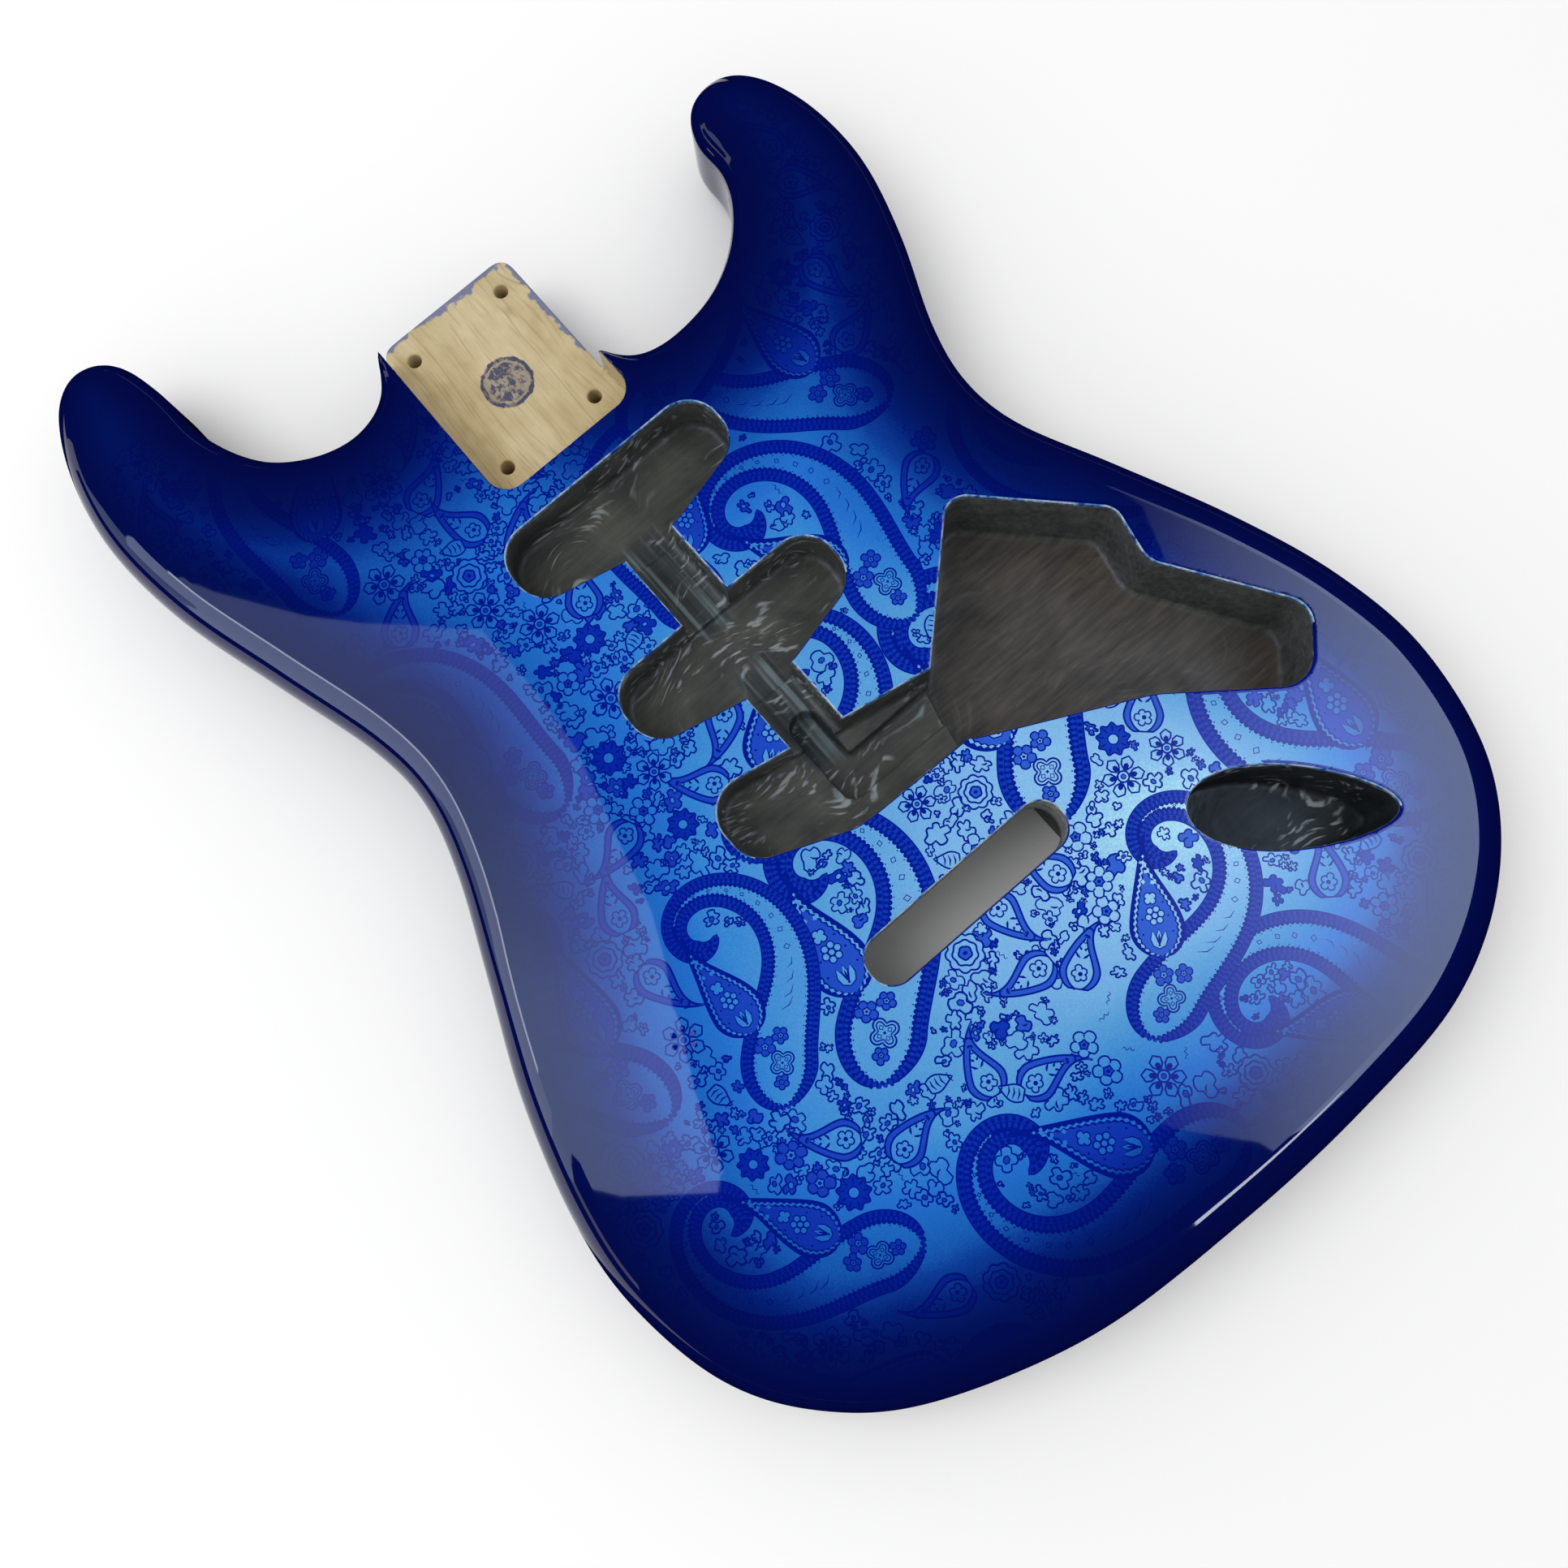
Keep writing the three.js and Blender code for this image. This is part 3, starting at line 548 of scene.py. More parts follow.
outside = face_height(front.points, -1)
under_slot, under_screws = (back.z(front.points, name) for name in ("block", "face"))
for low, high, *ends in front.walls_of(front.tris, front.levels):
    top, is_screw = front.heights[high], front.points[ends[0]][1] > 0
    if low == "out":
        skin.strip(front.rows(ends, outside, top, (0, 0.25, 0.5, 0.75, 1)), "edge")
    elif low == "slot":
        base = under_screws if is_screw else under_slot
        skin.strip(front.rows(ends, base, top, (0, 0.5, 1)), "wood" if is_screw else "slot")
    elif low == "pocket":
        skin.strip(front.rows(ends, front.heights[low], top, (0, 0.3, 0.6, 0.9)), "wood")
        skin.strip(front.rows(ends, front.heights[low], top, (0.9, 1)), "rim")
    else:
        base, painted = front.heights[low], 1
        if high == "face":
            painted = 1 - RIM_DEPTH / max(top[ends[0]] - base[ends[0]], 2)
            skin.strip(front.rows(ends, base, top, (painted, 1)), "rim")
        rows = front.rows(ends, base, top, (0, painted * 0.4, painted * 0.8, painted))
        skin.strip(rows, "hidden")
        liner_of[low].strip(rows, "paint")
for low, high, *ends in back.walls_of(back.tris, back.levels):
    if low not in ("slot", "out"):
        rows = back.rows(ends, back.heights[high], back.heights[low], (0, 0.3, 0.7, 1))
        skin.strip(rows, "spring")


# The printed paisley. A motif is a list of (loop, tone) in the order of printing, in mm
LIGHT, MID, DEEP, LINE = "light", "mid", "deep", "line"
draw = random.Random(7)


def inset(loop, width):
    loop = wound(loop)
    return loop + normals_of(loop) * width


def around(radius, sides):
    """A closed loop from a radius function of the angle."""
    a = np.linspace(0, 2 * math.pi, sides, endpoint=False)
    r = np.array([radius(t) for t in a])
    return np.stack([r * np.cos(a), r * np.sin(a)], 1)


def moved(shapes, x=0.0, y=0.0, angle=0.0, size=1.0, mirror=False):
    flip = (-1, 1) if mirror else (1, 1)
    return [(turned(np.array(loop, float) * size * flip, math.radians(angle), x, y), tone)
            for loop, tone in shapes]


def outlined(loop, width, fill):
    return [(wound(loop), LINE), (inset(loop, width), fill)]


def dot(radius, sides=8, x=0, y=0):
    return [(disc(radius, sides, x, y), LINE)]


def sides_of(line):
    along = np.gradient(line, axis=0)
    return left(along / np.maximum(np.linalg.norm(along, axis=1), 1e-9)[:, None])


def stroke(points, width):
    """A line of a given width that thins towards its ends."""
    p = np.array(points, float)
    at = np.arange(len(p))
    w = width / 2 * np.clip(np.minimum(at, at[::-1]) + 0.35, 0, 1)[:, None]
    return [(np.vstack([p + sides_of(p) * w, (p - sides_of(p) * w)[::-1]]), LINE)]


def rays(radius, count, shares, width):
    out = []
    for k in range(count):
        a = 2 * math.pi * k / count
        out += stroke([(radius * r * math.cos(a), radius * r * math.sin(a)) for r in shares], width)
    return out


def teeth(loop, pitch, depth, wave=(0, 1)):
    loop = wound(resample(wound(loop), pitch / len(wave), closed=True))
    heights = np.array(wave)[np.arange(len(loop)) % len(wave)] * depth
    return loop + normals_of(loop) * heights[:, None]


def beads(loop, pitch, long, wide, tone, sides=8):
    """Small ovals across a band, one each pitch along a loop."""
    loop = resample(wound(loop), pitch, closed=True)
    return [(ellipse(*p, long, wide, math.atan2(d[1], d[0]), sides), tone)
            for p, d in zip(loop, normals_of(loop))]


def blossom(radius, lobes, fill, ring=True, width=0.55):
    rag = [draw.uniform(0.9, 1.1) for _ in range(lobes)]

    def at(t):
        k = t / (2 * math.pi) * lobes
        return radius * (0.72 + 0.28 * abs(math.sin(k * math.pi)) ** 0.6) * rag[int(k) % lobes]
    out = outlined(around(at, lobes * 6), width, fill)
    if ring:
        heart = around(lambda t: radius * (0.36 + 0.07 * math.cos(lobes * t)), lobes * 3)
        out += outlined(heart, width, LIGHT if fill != LIGHT else MID) + dot(radius * 0.13, 7)
    return out + rays(radius, lobes, (0.46, 0.6, 0.76), width * 1.1)


def star_flower(radius):
    petal = [(0.2, 0), (0.5, -0.27), (0.78, -0.3), (1, 0), (0.78, 0.3), (0.5, 0.27)]
    petal = np.array(petal) * radius
    shapes = outlined(petal, 0.6, LIGHT) + [(petal * (0.45, 0.4) + (radius * 0.2, 0), LINE)]
    out = []
    for angle in range(0, 360, 60):
        out += moved(shapes, angle=angle)
    out += outlined(disc(radius * 0.3, 14), 0.6, LIGHT)
    return out + outlined(disc(radius * 0.14, 9), 0.35, MID)


def rose(radius):
    """Scalloped rings one inside the other, with a dark eye."""
    out = []
    for k, (share, fill) in enumerate(((1, LIGHT), (0.68, LIGHT), (0.38, MID))):
        lobes = 9 - 2 * k

        def scallops(t):
            return radius * share * (0.88 + 0.13 * abs(math.sin(lobes * t / 2 + k)))
        out += outlined(around(scallops, lobes * 5), 0.6, fill)
    return out + [(ellipse(0, 0, radius * 0.13, radius * 0.1, 0.4, 7), LINE)]


def quatrefoil(radius):
    outer = around(lambda t: radius * (0.66 + 0.36 * abs(math.cos(2 * t)) ** 0.8), 40)
    out = outlined(outer, 0.65, LIGHT) + outlined(inset(outer, radius * 0.22), 0.5, LIGHT)
    for k in range(4):
        a = math.pi / 2 * k
        x, y = 0.38 * radius * math.cos(a), 0.38 * radius * math.sin(a)
        out += outlined(disc(radius * 0.19, 4, x, y, a), 0.4, LIGHT)
    return out + [(disc(radius * 0.12, 4, angle=math.pi / 4), LINE)]


def grapes(radius):
    out = []
    for k in range(6):
        a = math.pi / 3 * k + 0.3
        grape = disc(radius * 0.6, 10, radius * math.cos(a), radius * math.sin(a), a)
        out += outlined(grape, 0.5, LIGHT)
    return out + outlined(disc(radius * 0.56, 9, angle=0.2), 0.5, LIGHT)


def tulip(size):
    cup = np.array([(0, -1), (0.62, -0.7), (0.86, -0.05), (0.66, 0.78), (0.3, 0.2), (0, 0.95),
                    (-0.3, 0.2), (-0.66, 0.78), (-0.86, -0.05), (-0.62, -0.7)]) * size
    out = outlined(cup, 0.5, LIGHT)
    for lean in (-0.42, 0, 0.42):
        vein = [(lean * t * size * 0.75, (-0.62 + 1.05 * t) * size) for t in (0, 0.4, 0.75, 1)]
        out += stroke(vein, 0.75)
    return out + dot(0.5, y=-0.62 * size)


def ribbon(spine, widths):
    """The loop round a middle line, with its own half width at each point."""
    keep = widths > 0.3
    spine, widths = spine[keep], widths[keep]
    side = sides_of(spine) * widths[:, None]
    tip = spine[-1] - left(side[-1])
    return wound(np.vstack([spine + side, [tip], (spine - side)[::-1]]))


def spine_of(length, bends, step=0.8):
    """A middle line from its turn in degrees per mm, given at even shares of its length."""
    heading, p, out = 90.0, np.array([0.0, 0.0]), []
    shares = np.linspace(0, 1, len(bends))
    for s in np.arange(0, length, step):
        out.append(p.copy())
        heading += float(np.interp(s / length, shares, bends)) * step
        p = p + step * np.array([math.cos(math.radians(heading)), math.sin(math.radians(heading))])
    return np.array(out)


def beside(spine, share, aside=0.0):
    """The place at a share of a middle line, and a step to its left."""
    k = int(share * len(spine))
    return spine[k] + left(unit(spine[k + 1] - spine[k])) * aside


def drop_widths(count, widest, head, tail, end=0.06):
    """Half widths of a drop: a round head, then a slope to a thin end."""
    t = np.linspace(0, 1, count)
    bow = np.sqrt(np.clip(1 - ((head - t) / head) ** 2, 0, 1))
    rest = end + (1 - end) * (1 - smooth((t - head) / (1 - head)) ** tail)
    return widest * np.where(t < head, bow, rest)


LEAF_SPINE = spine_of(25, (0, 0, -1.5, -4.5, -7))
PEAR_SPINE = spine_of(52, (0.8, 0.4, 0, -0.8, -2.4))
PAISLEY_SPINE = spine_of(152, (-1.2, -1.1, 0.2, 1.5, 1.9, 2.2, 3.4, 6.0, 8.5))
BUD_SPINE = spine_of(11, (-2, -2, -2))


def leaf():
    spine = LEAF_SPINE
    widths = drop_widths(len(spine), 6.4, 0.26, 0.75)
    out = outlined(ribbon(spine, widths), 0.6, MID)
    out += outlined(ribbon(spine, widths - 2.0), 0.55, LIGHT)
    for k in range(5):
        at = int((0.42 + 0.095 * k) * len(spine))
        p, d = spine[at], unit(spine[at + 1] - spine[at])
        reach = widths[at] - 2.9
        for side in (-left(d), left(d)):
            out += stroke([p + side * 0.45, p + side * reach * 0.55 + d * reach * 0.25,
                           p + side * reach + d * reach * 0.8], 0.8)
    out += moved(blossom(2.9, 5, LIGHT, ring=False, width=0.5), 0, 5.6)
    return out + dot(0.75, x=0.2, y=5.6)


def pear():
    spine = PEAR_SPINE
    widths = drop_widths(len(spine), 11.5, 0.24, 0.85)
    out = outlined(ribbon(spine, widths), 1.7, LINE)
    out += [(teeth(ribbon(spine, widths - cut), 2.6, depth), tone)
            for cut, depth, tone in ((1.6, 0.8, LIGHT), (2.4, 0.8, LINE), (3.3, 0.5, MID))]
    out += moved(tulip(4.4), *beside(spine, 0.16)) + moved(grapes(2.7), *beside(spine, 0.35))
    out += moved(blossom(3.1, 4, LIGHT, ring=False), *beside(spine, 0.49, 0.4))
    for k, place in enumerate(((0.6, -2.2), (0.62, 1.6), (0.7, -0.2), (0.77, 1.2), (0.83, 0))):
        out += [(ellipse(*beside(spine, *place), 1.15 - 0.1 * k, 1.0 - 0.1 * k, 0.5 + k, 4), LIGHT)]
    for place in ((0.33, 5.4), (0.33, -5.4), (0.2, 6.2), (0.2, -6.2), (0.44, -4.4)):
        out += dot(0.5, 6, *beside(spine, *place))
    return out


def paisley():
    """A large curled drop: a band of scallops, a row of teeth, and a light middle with flowers."""
    spine = PAISLEY_SPINE
    widths = drop_widths(len(spine), 15.2, 0.12, 0.62, 0.3)
    widths[-12:] *= np.linspace(1, 0.3, 12)

    def band(cut):
        return ribbon(spine, widths - cut)
    out = outlined(band(0), 0.55, DEEP) + beads(band(1.45), 2.3, 0.9, 0.75, LINE, sides=7)
    out += [(band(2.4), LINE)] + beads(band(3.5), 1.9, 1.0, 0.62, DEEP)
    out += [(teeth(band(4.9), 1.9, 0.75, (0, 0.8, 1, 0.8)), LIGHT)]
    out += beads(band(6.1), 3.8, 0.3, 0.3, LINE, sides=5)
    x, y = beside(spine, 0.13)
    for radius, aside, up in ((4.3, -3.6, 6.4), (3.7, 3.6, 8.4), (3.3, -2.2, -8.4)):
        out += moved(blossom(radius, 5, MID), x + aside, y + up)
    out += moved(quatrefoil(5.4), x + 0.6, y - 1.6, 20)
    for k in range(4):
        q = beside(spine, 0.27 + 0.035 * k)
        a, b = q + (-3.2 + 0.5 * k, -1.5), q + (3.0 - 0.5 * k, 2.0)
        out += stroke([a, (a + b) / 2 + (0.6, -0.9), b], 0.42)
    for k in range(9):
        q = beside(spine, 0.42 + 0.045 * k)
        out += outlined(ellipse(*q, 1.5 - 0.09 * k, 1.3 - 0.09 * k, 0.5 * k, 4), 0.4, LIGHT)
    return out


def paired():
    """A large paisley with a pear that hangs from its curl."""
    turn, size = 12, 0.92
    tip = moved([(PEAR_SPINE, LINE)], angle=turn, size=size)[0][0][-8]
    return paisley() + moved(pear(), *(beside(PAISLEY_SPINE, 0.9) - tip), turn, size)


def fan(radius):
    out = outlined(around(lambda t: radius * (0.9 + 0.1 * math.cos(9 * t)), 54), 0.55, DEEP)
    out += rays(radius, 9, (0.45, 0.62, 0.84), 0.6)
    return out + outlined(disc(radius * 0.34, 10), 0.45, LIGHT)


def bud():
    out = outlined(ribbon(BUD_SPINE, drop_widths(len(BUD_SPINE), 2.9, 0.35, 1.1)), 0.55, LIGHT)
    for k in range(4):
        p = beside(BUD_SPINE, 0.25 + 0.16 * k)
        out += stroke([p + (-1.7, 0.4), p, p + (1.7, 0.4)], 0.6)
    return out


def cloud(radius):
    """A small irregular petal cluster that fills the ground."""
    lobes = draw.choice((3, 4, 5, 5))
    size = [draw.uniform(0.75, 1.2) for _ in range(lobes)]
    phase, squash = draw.uniform(0, 6.28), draw.uniform(0.7, 1)

    def at(t):
        k = t / (2 * math.pi) * lobes
        bow = math.sin((k - int(k)) * math.pi) ** 0.5
        return radius * size[int(k) % lobes] * (0.62 + 0.38 * bow)
    tone = draw.choices((LIGHT, MID, DEEP), (9, 2, 0.7))[0]
    out = outlined(around(at, lobes * 5) * (1, squash), draw.uniform(0.5, 0.68), tone)
    pick = draw.random()
    if pick < 0.4:
        heart = ellipse(0, 0, radius * 0.34, radius * 0.28, 0.5, 6)
        out += outlined(heart, 0.45, LIGHT if tone != LIGHT else MID)
    elif pick < 0.75:
        a = draw.uniform(0, 6.28)
        out += stroke([(radius * r * math.cos(a + r), radius * r * math.sin(a + r) * squash)
                       for r in (0, 0.25, 0.45, 0.6)], 0.6)
    return moved(out, angle=math.degrees(phase))


def squiggle():
    x = np.linspace(-3.2, 3.2, 9)
    return stroke(np.stack([x, 0.8 * np.sin(x * 2.2)], 1), 0.5)


LARGE = [  # x, y, angle, size, mirrored
    (-58, -220, -28, 0.92, False), (16, -300, 62, 0.92, True), (36, -196, -12, 0.95, False),
    (128, -268, 12, 0.95, True), (-112, -186, 8, 0.9, True), (-46, -140, -62, 0.88, False),
    (46, -118, 12, 0.86, False), (88, -58, 28, 0.86, True), (-76, -92, 22, 0.86, False),
    (-92, 4, -18, 0.84, True), (-70, -306, 75, 0.9, True), (-6, -78, -20, 0.8, True),
    (132, -140, 20, 0.8, True), (16, -16, -50, 0.8, False), (86, -318, 40, 0.8, False),
    (-78, -262, 50, 0.8, True), (12, -262, -52, 0.8, False), (-84, -206, -20, 0.78, False),
]
SMALL = [  # clear radius, tries, motif
    (8.5, 420, leaf),
    (6.8, 260, lambda: star_flower(draw.uniform(6.2, 7.2))),
    (6.0, 260, lambda: rose(draw.uniform(5.4, 6.4))),
    (5.8, 200, lambda: fan(draw.uniform(5.2, 6))),
    (4.5, 500,
     lambda: blossom(draw.uniform(4.2, 5), draw.choice((5, 6)), draw.choice((LIGHT, MID)))),
    (4.2, 300, bud),
]


def inside_loop(points, loop):
    """Nonzero winding test of many points against one loop."""
    x, y = points[:, 0][:, None], points[:, 1][:, None]
    ax, ay = loop[:, 0][None], loop[:, 1][None]
    bx, by = np.roll(ax, -1), np.roll(ay, -1)
    side = (bx - ax) * (y - ay) - (x - ax) * (by - ay)
    up = (ay <= y) & (by > y) & (side > 0)
    down = (ay > y) & (by <= y) & (side < 0)
    return (up.sum(1) - down.sum(1)) != 0


PRINT_X, PRINT_Y = (-160, 165), (-322, 95)
PAPER_X, PAPER_Y = (-170, 175), (-330, 110)
GROUND_TRIES, SQUIGGLE_TRIES, PRINT_MARGIN = 5200, 500, 14


class Paper:
    """What is already printed, on a grid of 1 mm."""

    def __init__(self):
        self.ys, self.xs = np.mgrid[slice(*PAPER_Y), slice(*PAPER_X)]
        self.busy = np.zeros(self.xs.shape, bool)

    def window(self, x, y, r):
        """The part of the grid within a reach of a place, and its squared distances."""
        i, j, k = int(round(y - PAPER_Y[0])), int(round(x - PAPER_X[0])), int(math.ceil(r))
        w = slice(max(i - k, 0), max(i + k + 1, 0)), slice(max(j - k, 0), max(j + k + 1, 0))
        return w, (self.xs[w] - x) ** 2 + (self.ys[w] - y) ** 2

    def clear(self, x, y, r):
        w, away = self.window(x, y, r)
        return not bool((self.busy[w] & (away <= r * r)).any())

    def mark(self, x, y, r):
        w, away = self.window(x, y, r)
        self.busy[w] |= away <= r * r

    def mark_loop(self, loop, margin):
        grown = inset(loop, -margin)
        low, high = grown.min(0), grown.max(0)
        w, away = self.window(*(low + high) / 2, (high - low).max() / 2 + 1)
        places = np.stack([self.xs[w].ravel(), self.ys[w].ravel()], 1)
        self.busy[w] |= inside_loop(places, grown).reshape(away.shape)


def spot():
    return draw.uniform(*PRINT_X), draw.uniform(*PRINT_Y)


def layout():
    """Places the large motifs as listed, then leaves and flowers at random, then fills the ground.
    """
    paper = Paper()
    big, fill, ground = [], [], []
    for place in LARGE:
        parts = moved(paired(), *place)
        big += parts
        # The pear's own loop comes after as many shapes as a paisley has
        for loop in (parts[0][0], parts[len(paisley())][0]):
            paper.mark_loop(loop, 0.8)
    for gap, tries, make in SMALL:
        for _ in range(tries):
            x, y = spot()
            if paper.clear(x, y, gap) and front_inside(x, y, PRINT_MARGIN):
                angle = draw.uniform(0, 360)
                parts = moved(make(), 0, 0, angle, 1, draw.random() < 0.5)
                middle = np.zeros(2)
                # Leaves and buds are drawn from their stems, the others round their middles
                if make in (leaf, bud):
                    middle = (parts[0][0].min(0) + parts[0][0].max(0)) / 2
                fill += moved(parts, *((x, y) - middle))
                paper.mark(x, y, gap - (1.5 if make is leaf else 0.6))
    for size in (3.7, 2.6, 1.7):
        for _ in range(GROUND_TRIES):
            x, y = spot()
            # Slow waves leave some patches of the ground plain
            plain = math.sin(x / 13 + 1.3) + math.sin(y / 15 + 0.4) + math.sin((x + y) / 21) > 1.35
            r = size * draw.uniform(0.8, 1.2)
            if not plain and paper.clear(x, y, r * 0.6) and front_inside(x, y, PRINT_MARGIN - 1):
                ground += moved(cloud(r), x, y)
                paper.mark(x, y, r * 0.62)
    for _ in range(SQUIGGLE_TRIES):
        x, y = spot()
        if paper.clear(x, y, 1.6) and front_inside(x, y, PRINT_MARGIN):
            ground += moved(squiggle(), x, y, draw.uniform(0, 360), 0.6)
            paper.mark(x, y, 2.5)
    return ground + fill + big


def print_tones(centres, motifs):
    """The tone of the last motif loop over each place."""
    order = np.argsort(centres[:, 0])
    xs, ys = centres[order].T
    tones = np.array([LIGHT] * len(centres), object)
    for loop, tone in motifs:
        (x0, y0), (x1, y1) = loop.min(0), loop.max(0)
        first, last = np.searchsorted(xs, (x0, x1))
        near = np.nonzero((ys[first:last] >= y0) & (ys[first:last] <= y1))[0] + first
        if len(near):
            tones[order[near[inside_loop(np.stack([xs[near], ys[near]], 1), loop)]]] = tone
    return tones


mouths = np.array([(a, b) for _, high, a, b in front.walls if high == "face"])
mouth_tree = tree_of([(a + b) / 2 for a, b in mouths])


def to_mouth(points):
    """Distances of points to the nearest opening of the front, and the directions into it."""
    near = np.array([[hit[1] for hit in mouth_tree.find_n((x, y, 0), 3)] for x, y in points]).T
    far, step, _, _ = nearest_of(points, mouths[near, 0], mouths[near, 1])
    return far, step / np.maximum(far, 1e-6)[:, None]


# Widths of the lip, and of the deep band of lacquer roll and painted shade
LIP_BAND, ROLL_AND_SHADE_BAND = 0.42, 1.3
# The lacquer roll shows beyond the first x, painted shade on edges at an opening's right beyond the
# second, and the painted highlight on lips at or below the y
ROLL_X, RIGHT_SHADE_X, LIT_LIP_BELOW = 95, 62, -1
PHOTO_RIGHT, PHOTO_DOWN = np.array([0.755, -0.655]), np.array([-0.655, -0.755])


def lip_tones(centres, tones):
    """The foil's cut edge round the openings: deep blue, widened by a lacquer roll and by painted
    shade, and pale where a painted highlight lies.
    """
    d, into = to_mouth(centres)
    right, down = into @ PHOTO_RIGHT, into @ PHOTO_DOWN
    x, y = centres.T
    # A deep band: the lacquer roll, and painted shade on edges at an opening's right
    roll_and_shade = (x > ROLL_X) | ((right < -0.3) & (x > RIGHT_SHADE_X))
    # A painted highlight on the lips at an opening's left and top
    painted_highlight = ((right > 0.2) | (down > 0.1)) & (y <= LIT_LIP_BELOW)
    tones = np.where((d < LIP_BAND) | ((d < ROLL_AND_SHADE_BAND) & roll_and_shade), LINE, tones)
    return np.where((d < LIP_BAND) & painted_highlight, "lip", tones)


def add_skirt(points, faces, tags, tag, foot_of):
    """Turns a sheet's open edges down to the foot of each edge point."""
    edges = {(f[k], f[(k + 1) % len(f)]) for f in faces for k in range(len(f))}
    feet = {}
    for a, b in sorted(edges):
        if (b, a) in edges:
            continue
        for v in (a, b):
            if v not in feet:
                feet[v] = len(points)
                points.append(foot_of(v))
        faces.append([a, feet[a], feet[b], b])
        tags.append(tag)


def printed_sheet(motifs):
    """The sheet. The motifs' outlines are cut into its triangles, so the print has crisp edges."""
    openings = front.loops[1:]
    shown = [(loop, tone) for loop, tone in motifs
             if any(front_inside(*p, 10) for p in loop[::max(len(loop) // 8, 1)])]
    bands = [inset(loop, -width) for loop in openings for width in (LIP_BAND, ROLL_AND_SHADE_BAND)]
    pts, tris, inside = triangulate([sheet_edge] + openings, [loop for loop, _ in shown] + bands,
                                    front.beside_walls() + in_reach(grid(SHEET_GRID), front.walls))
    keep = np.array([tri for tri, ids in zip(tris, inside) if list(ids) == [0]])
    used, faces = np.unique(keep, return_inverse=True)
    flat, faces = pts[used], faces.reshape(-1, 3).tolist()
    centres = (pts[keep[:, 0]] + pts[keep[:, 1]] + pts[keep[:, 2]]) / 3
    tags = list(lip_tones(centres, print_tones(centres, shown)))
    z = face_height(flat, 1) - quarter(to_mouth(flat)[0], LIP)
    points = [(float(x), float(y), float(h)) for (x, y), h in zip(flat, z)]
    add_skirt(points, faces, tags, "rim", lambda v: (*points[v][:2], points[v][2] - SHEET))
    return points, faces, tags


def coat_of_paint(liner):
    """Lifts a liner off the wood by an uneven thickness, and turns its open edge down to it."""
    data = bpy.data.meshes.new("seat")
    data.from_pydata(liner.points, [], liner.faces)
    normals = [tuple(v.normal) for v in data.vertices]
    bpy.data.meshes.remove(data)
    points = []
    for (x, y, z), n in zip(liner.points, normals):
        lift = PAINT_COAT + PAINT_WAVE * math.sin(x * 1.1 + z) * math.sin(y * 0.9 - z * 1.3)
        points.append((x + n[0] * lift, y + n[1] * lift, z + n[2] * lift))

    def foot(v):
        (x, y, z), n = liner.points[v], normals[v]
        return x - n[0] * PAINT_FOOT, y - n[1] * PAINT_FOOT, z + PAINT_FOOT
    add_skirt(points, liner.faces, liner.tags, "paint", foot)
    return points, liner.faces, liner.tags


def linear(rgb):
    """A linear colour from 0 to 255 screen values."""
    return (*(c / 255 / 12.92 if c <= 10 else ((c / 255 + 0.055) / 1.055) ** 2.4 for c in rgb), 1.0)


def colour_of(value):
    """Three screen values as a linear colour. Anything else stays as it is."""
    return linear(value) if isinstance(value, tuple) and len(value) == 3 else value


def shaded(rgb, factor):
    return tuple(min(c * factor, 255) for c in rgb)


class Value:
    """A node's output. Arithmetic on it adds math nodes."""

    def __init__(self, graph, socket):
        self.graph, self.socket = graph, socket

    def __add__(self, other):
        return self.graph.math("ADD", self, other)

    def __sub__(self, other):
        return self.graph.math("SUBTRACT", self, other)

    def __rsub__(self, other):
        return self.graph.math("SUBTRACT", other, self)

    def __mul__(self, other):
        return self.graph.math("MULTIPLY", self, other)

    def __truediv__(self, other):
        return self.graph.math("DIVIDE", self, other)

    def __abs__(self):
        return self.graph.math("ABSOLUTE", self)


class Graph:
    """The nodes of a material or of the world."""

    def __init__(self, tree):
        self.tree = tree

    def set(self, node, values):
        for key, value in values.items():
            if isinstance(value, Value):
                self.tree.links.new(value.socket, node.inputs[key])
            else:
                node.inputs[key].default_value = value

    def node(self, kind, values=None, output=0, **settings):
        node = self.tree.nodes.new("ShaderNode" + kind)
        for key, value in settings.items():
            setattr(node, key, value)
        self.set(node, values or {})
        return Value(self, node.outputs[output]) if node.outputs else node

    def math(self, operation, *values):
        return self.node("Math", dict(enumerate(values)), operation=operation)

    def vector_math(self, operation, *values, output=0):
        return self.node("VectorMath", dict(enumerate(values)), output, operation=operation)

    def step(self, value, low, high, bottom=0.0, top=1.0):
        ends = {"From Min": low, "From Max": high, "To Min": bottom, "To Max": top}
        return self.node("MapRange", {"Value": value, **ends}, interpolation_type="SMOOTHSTEP")


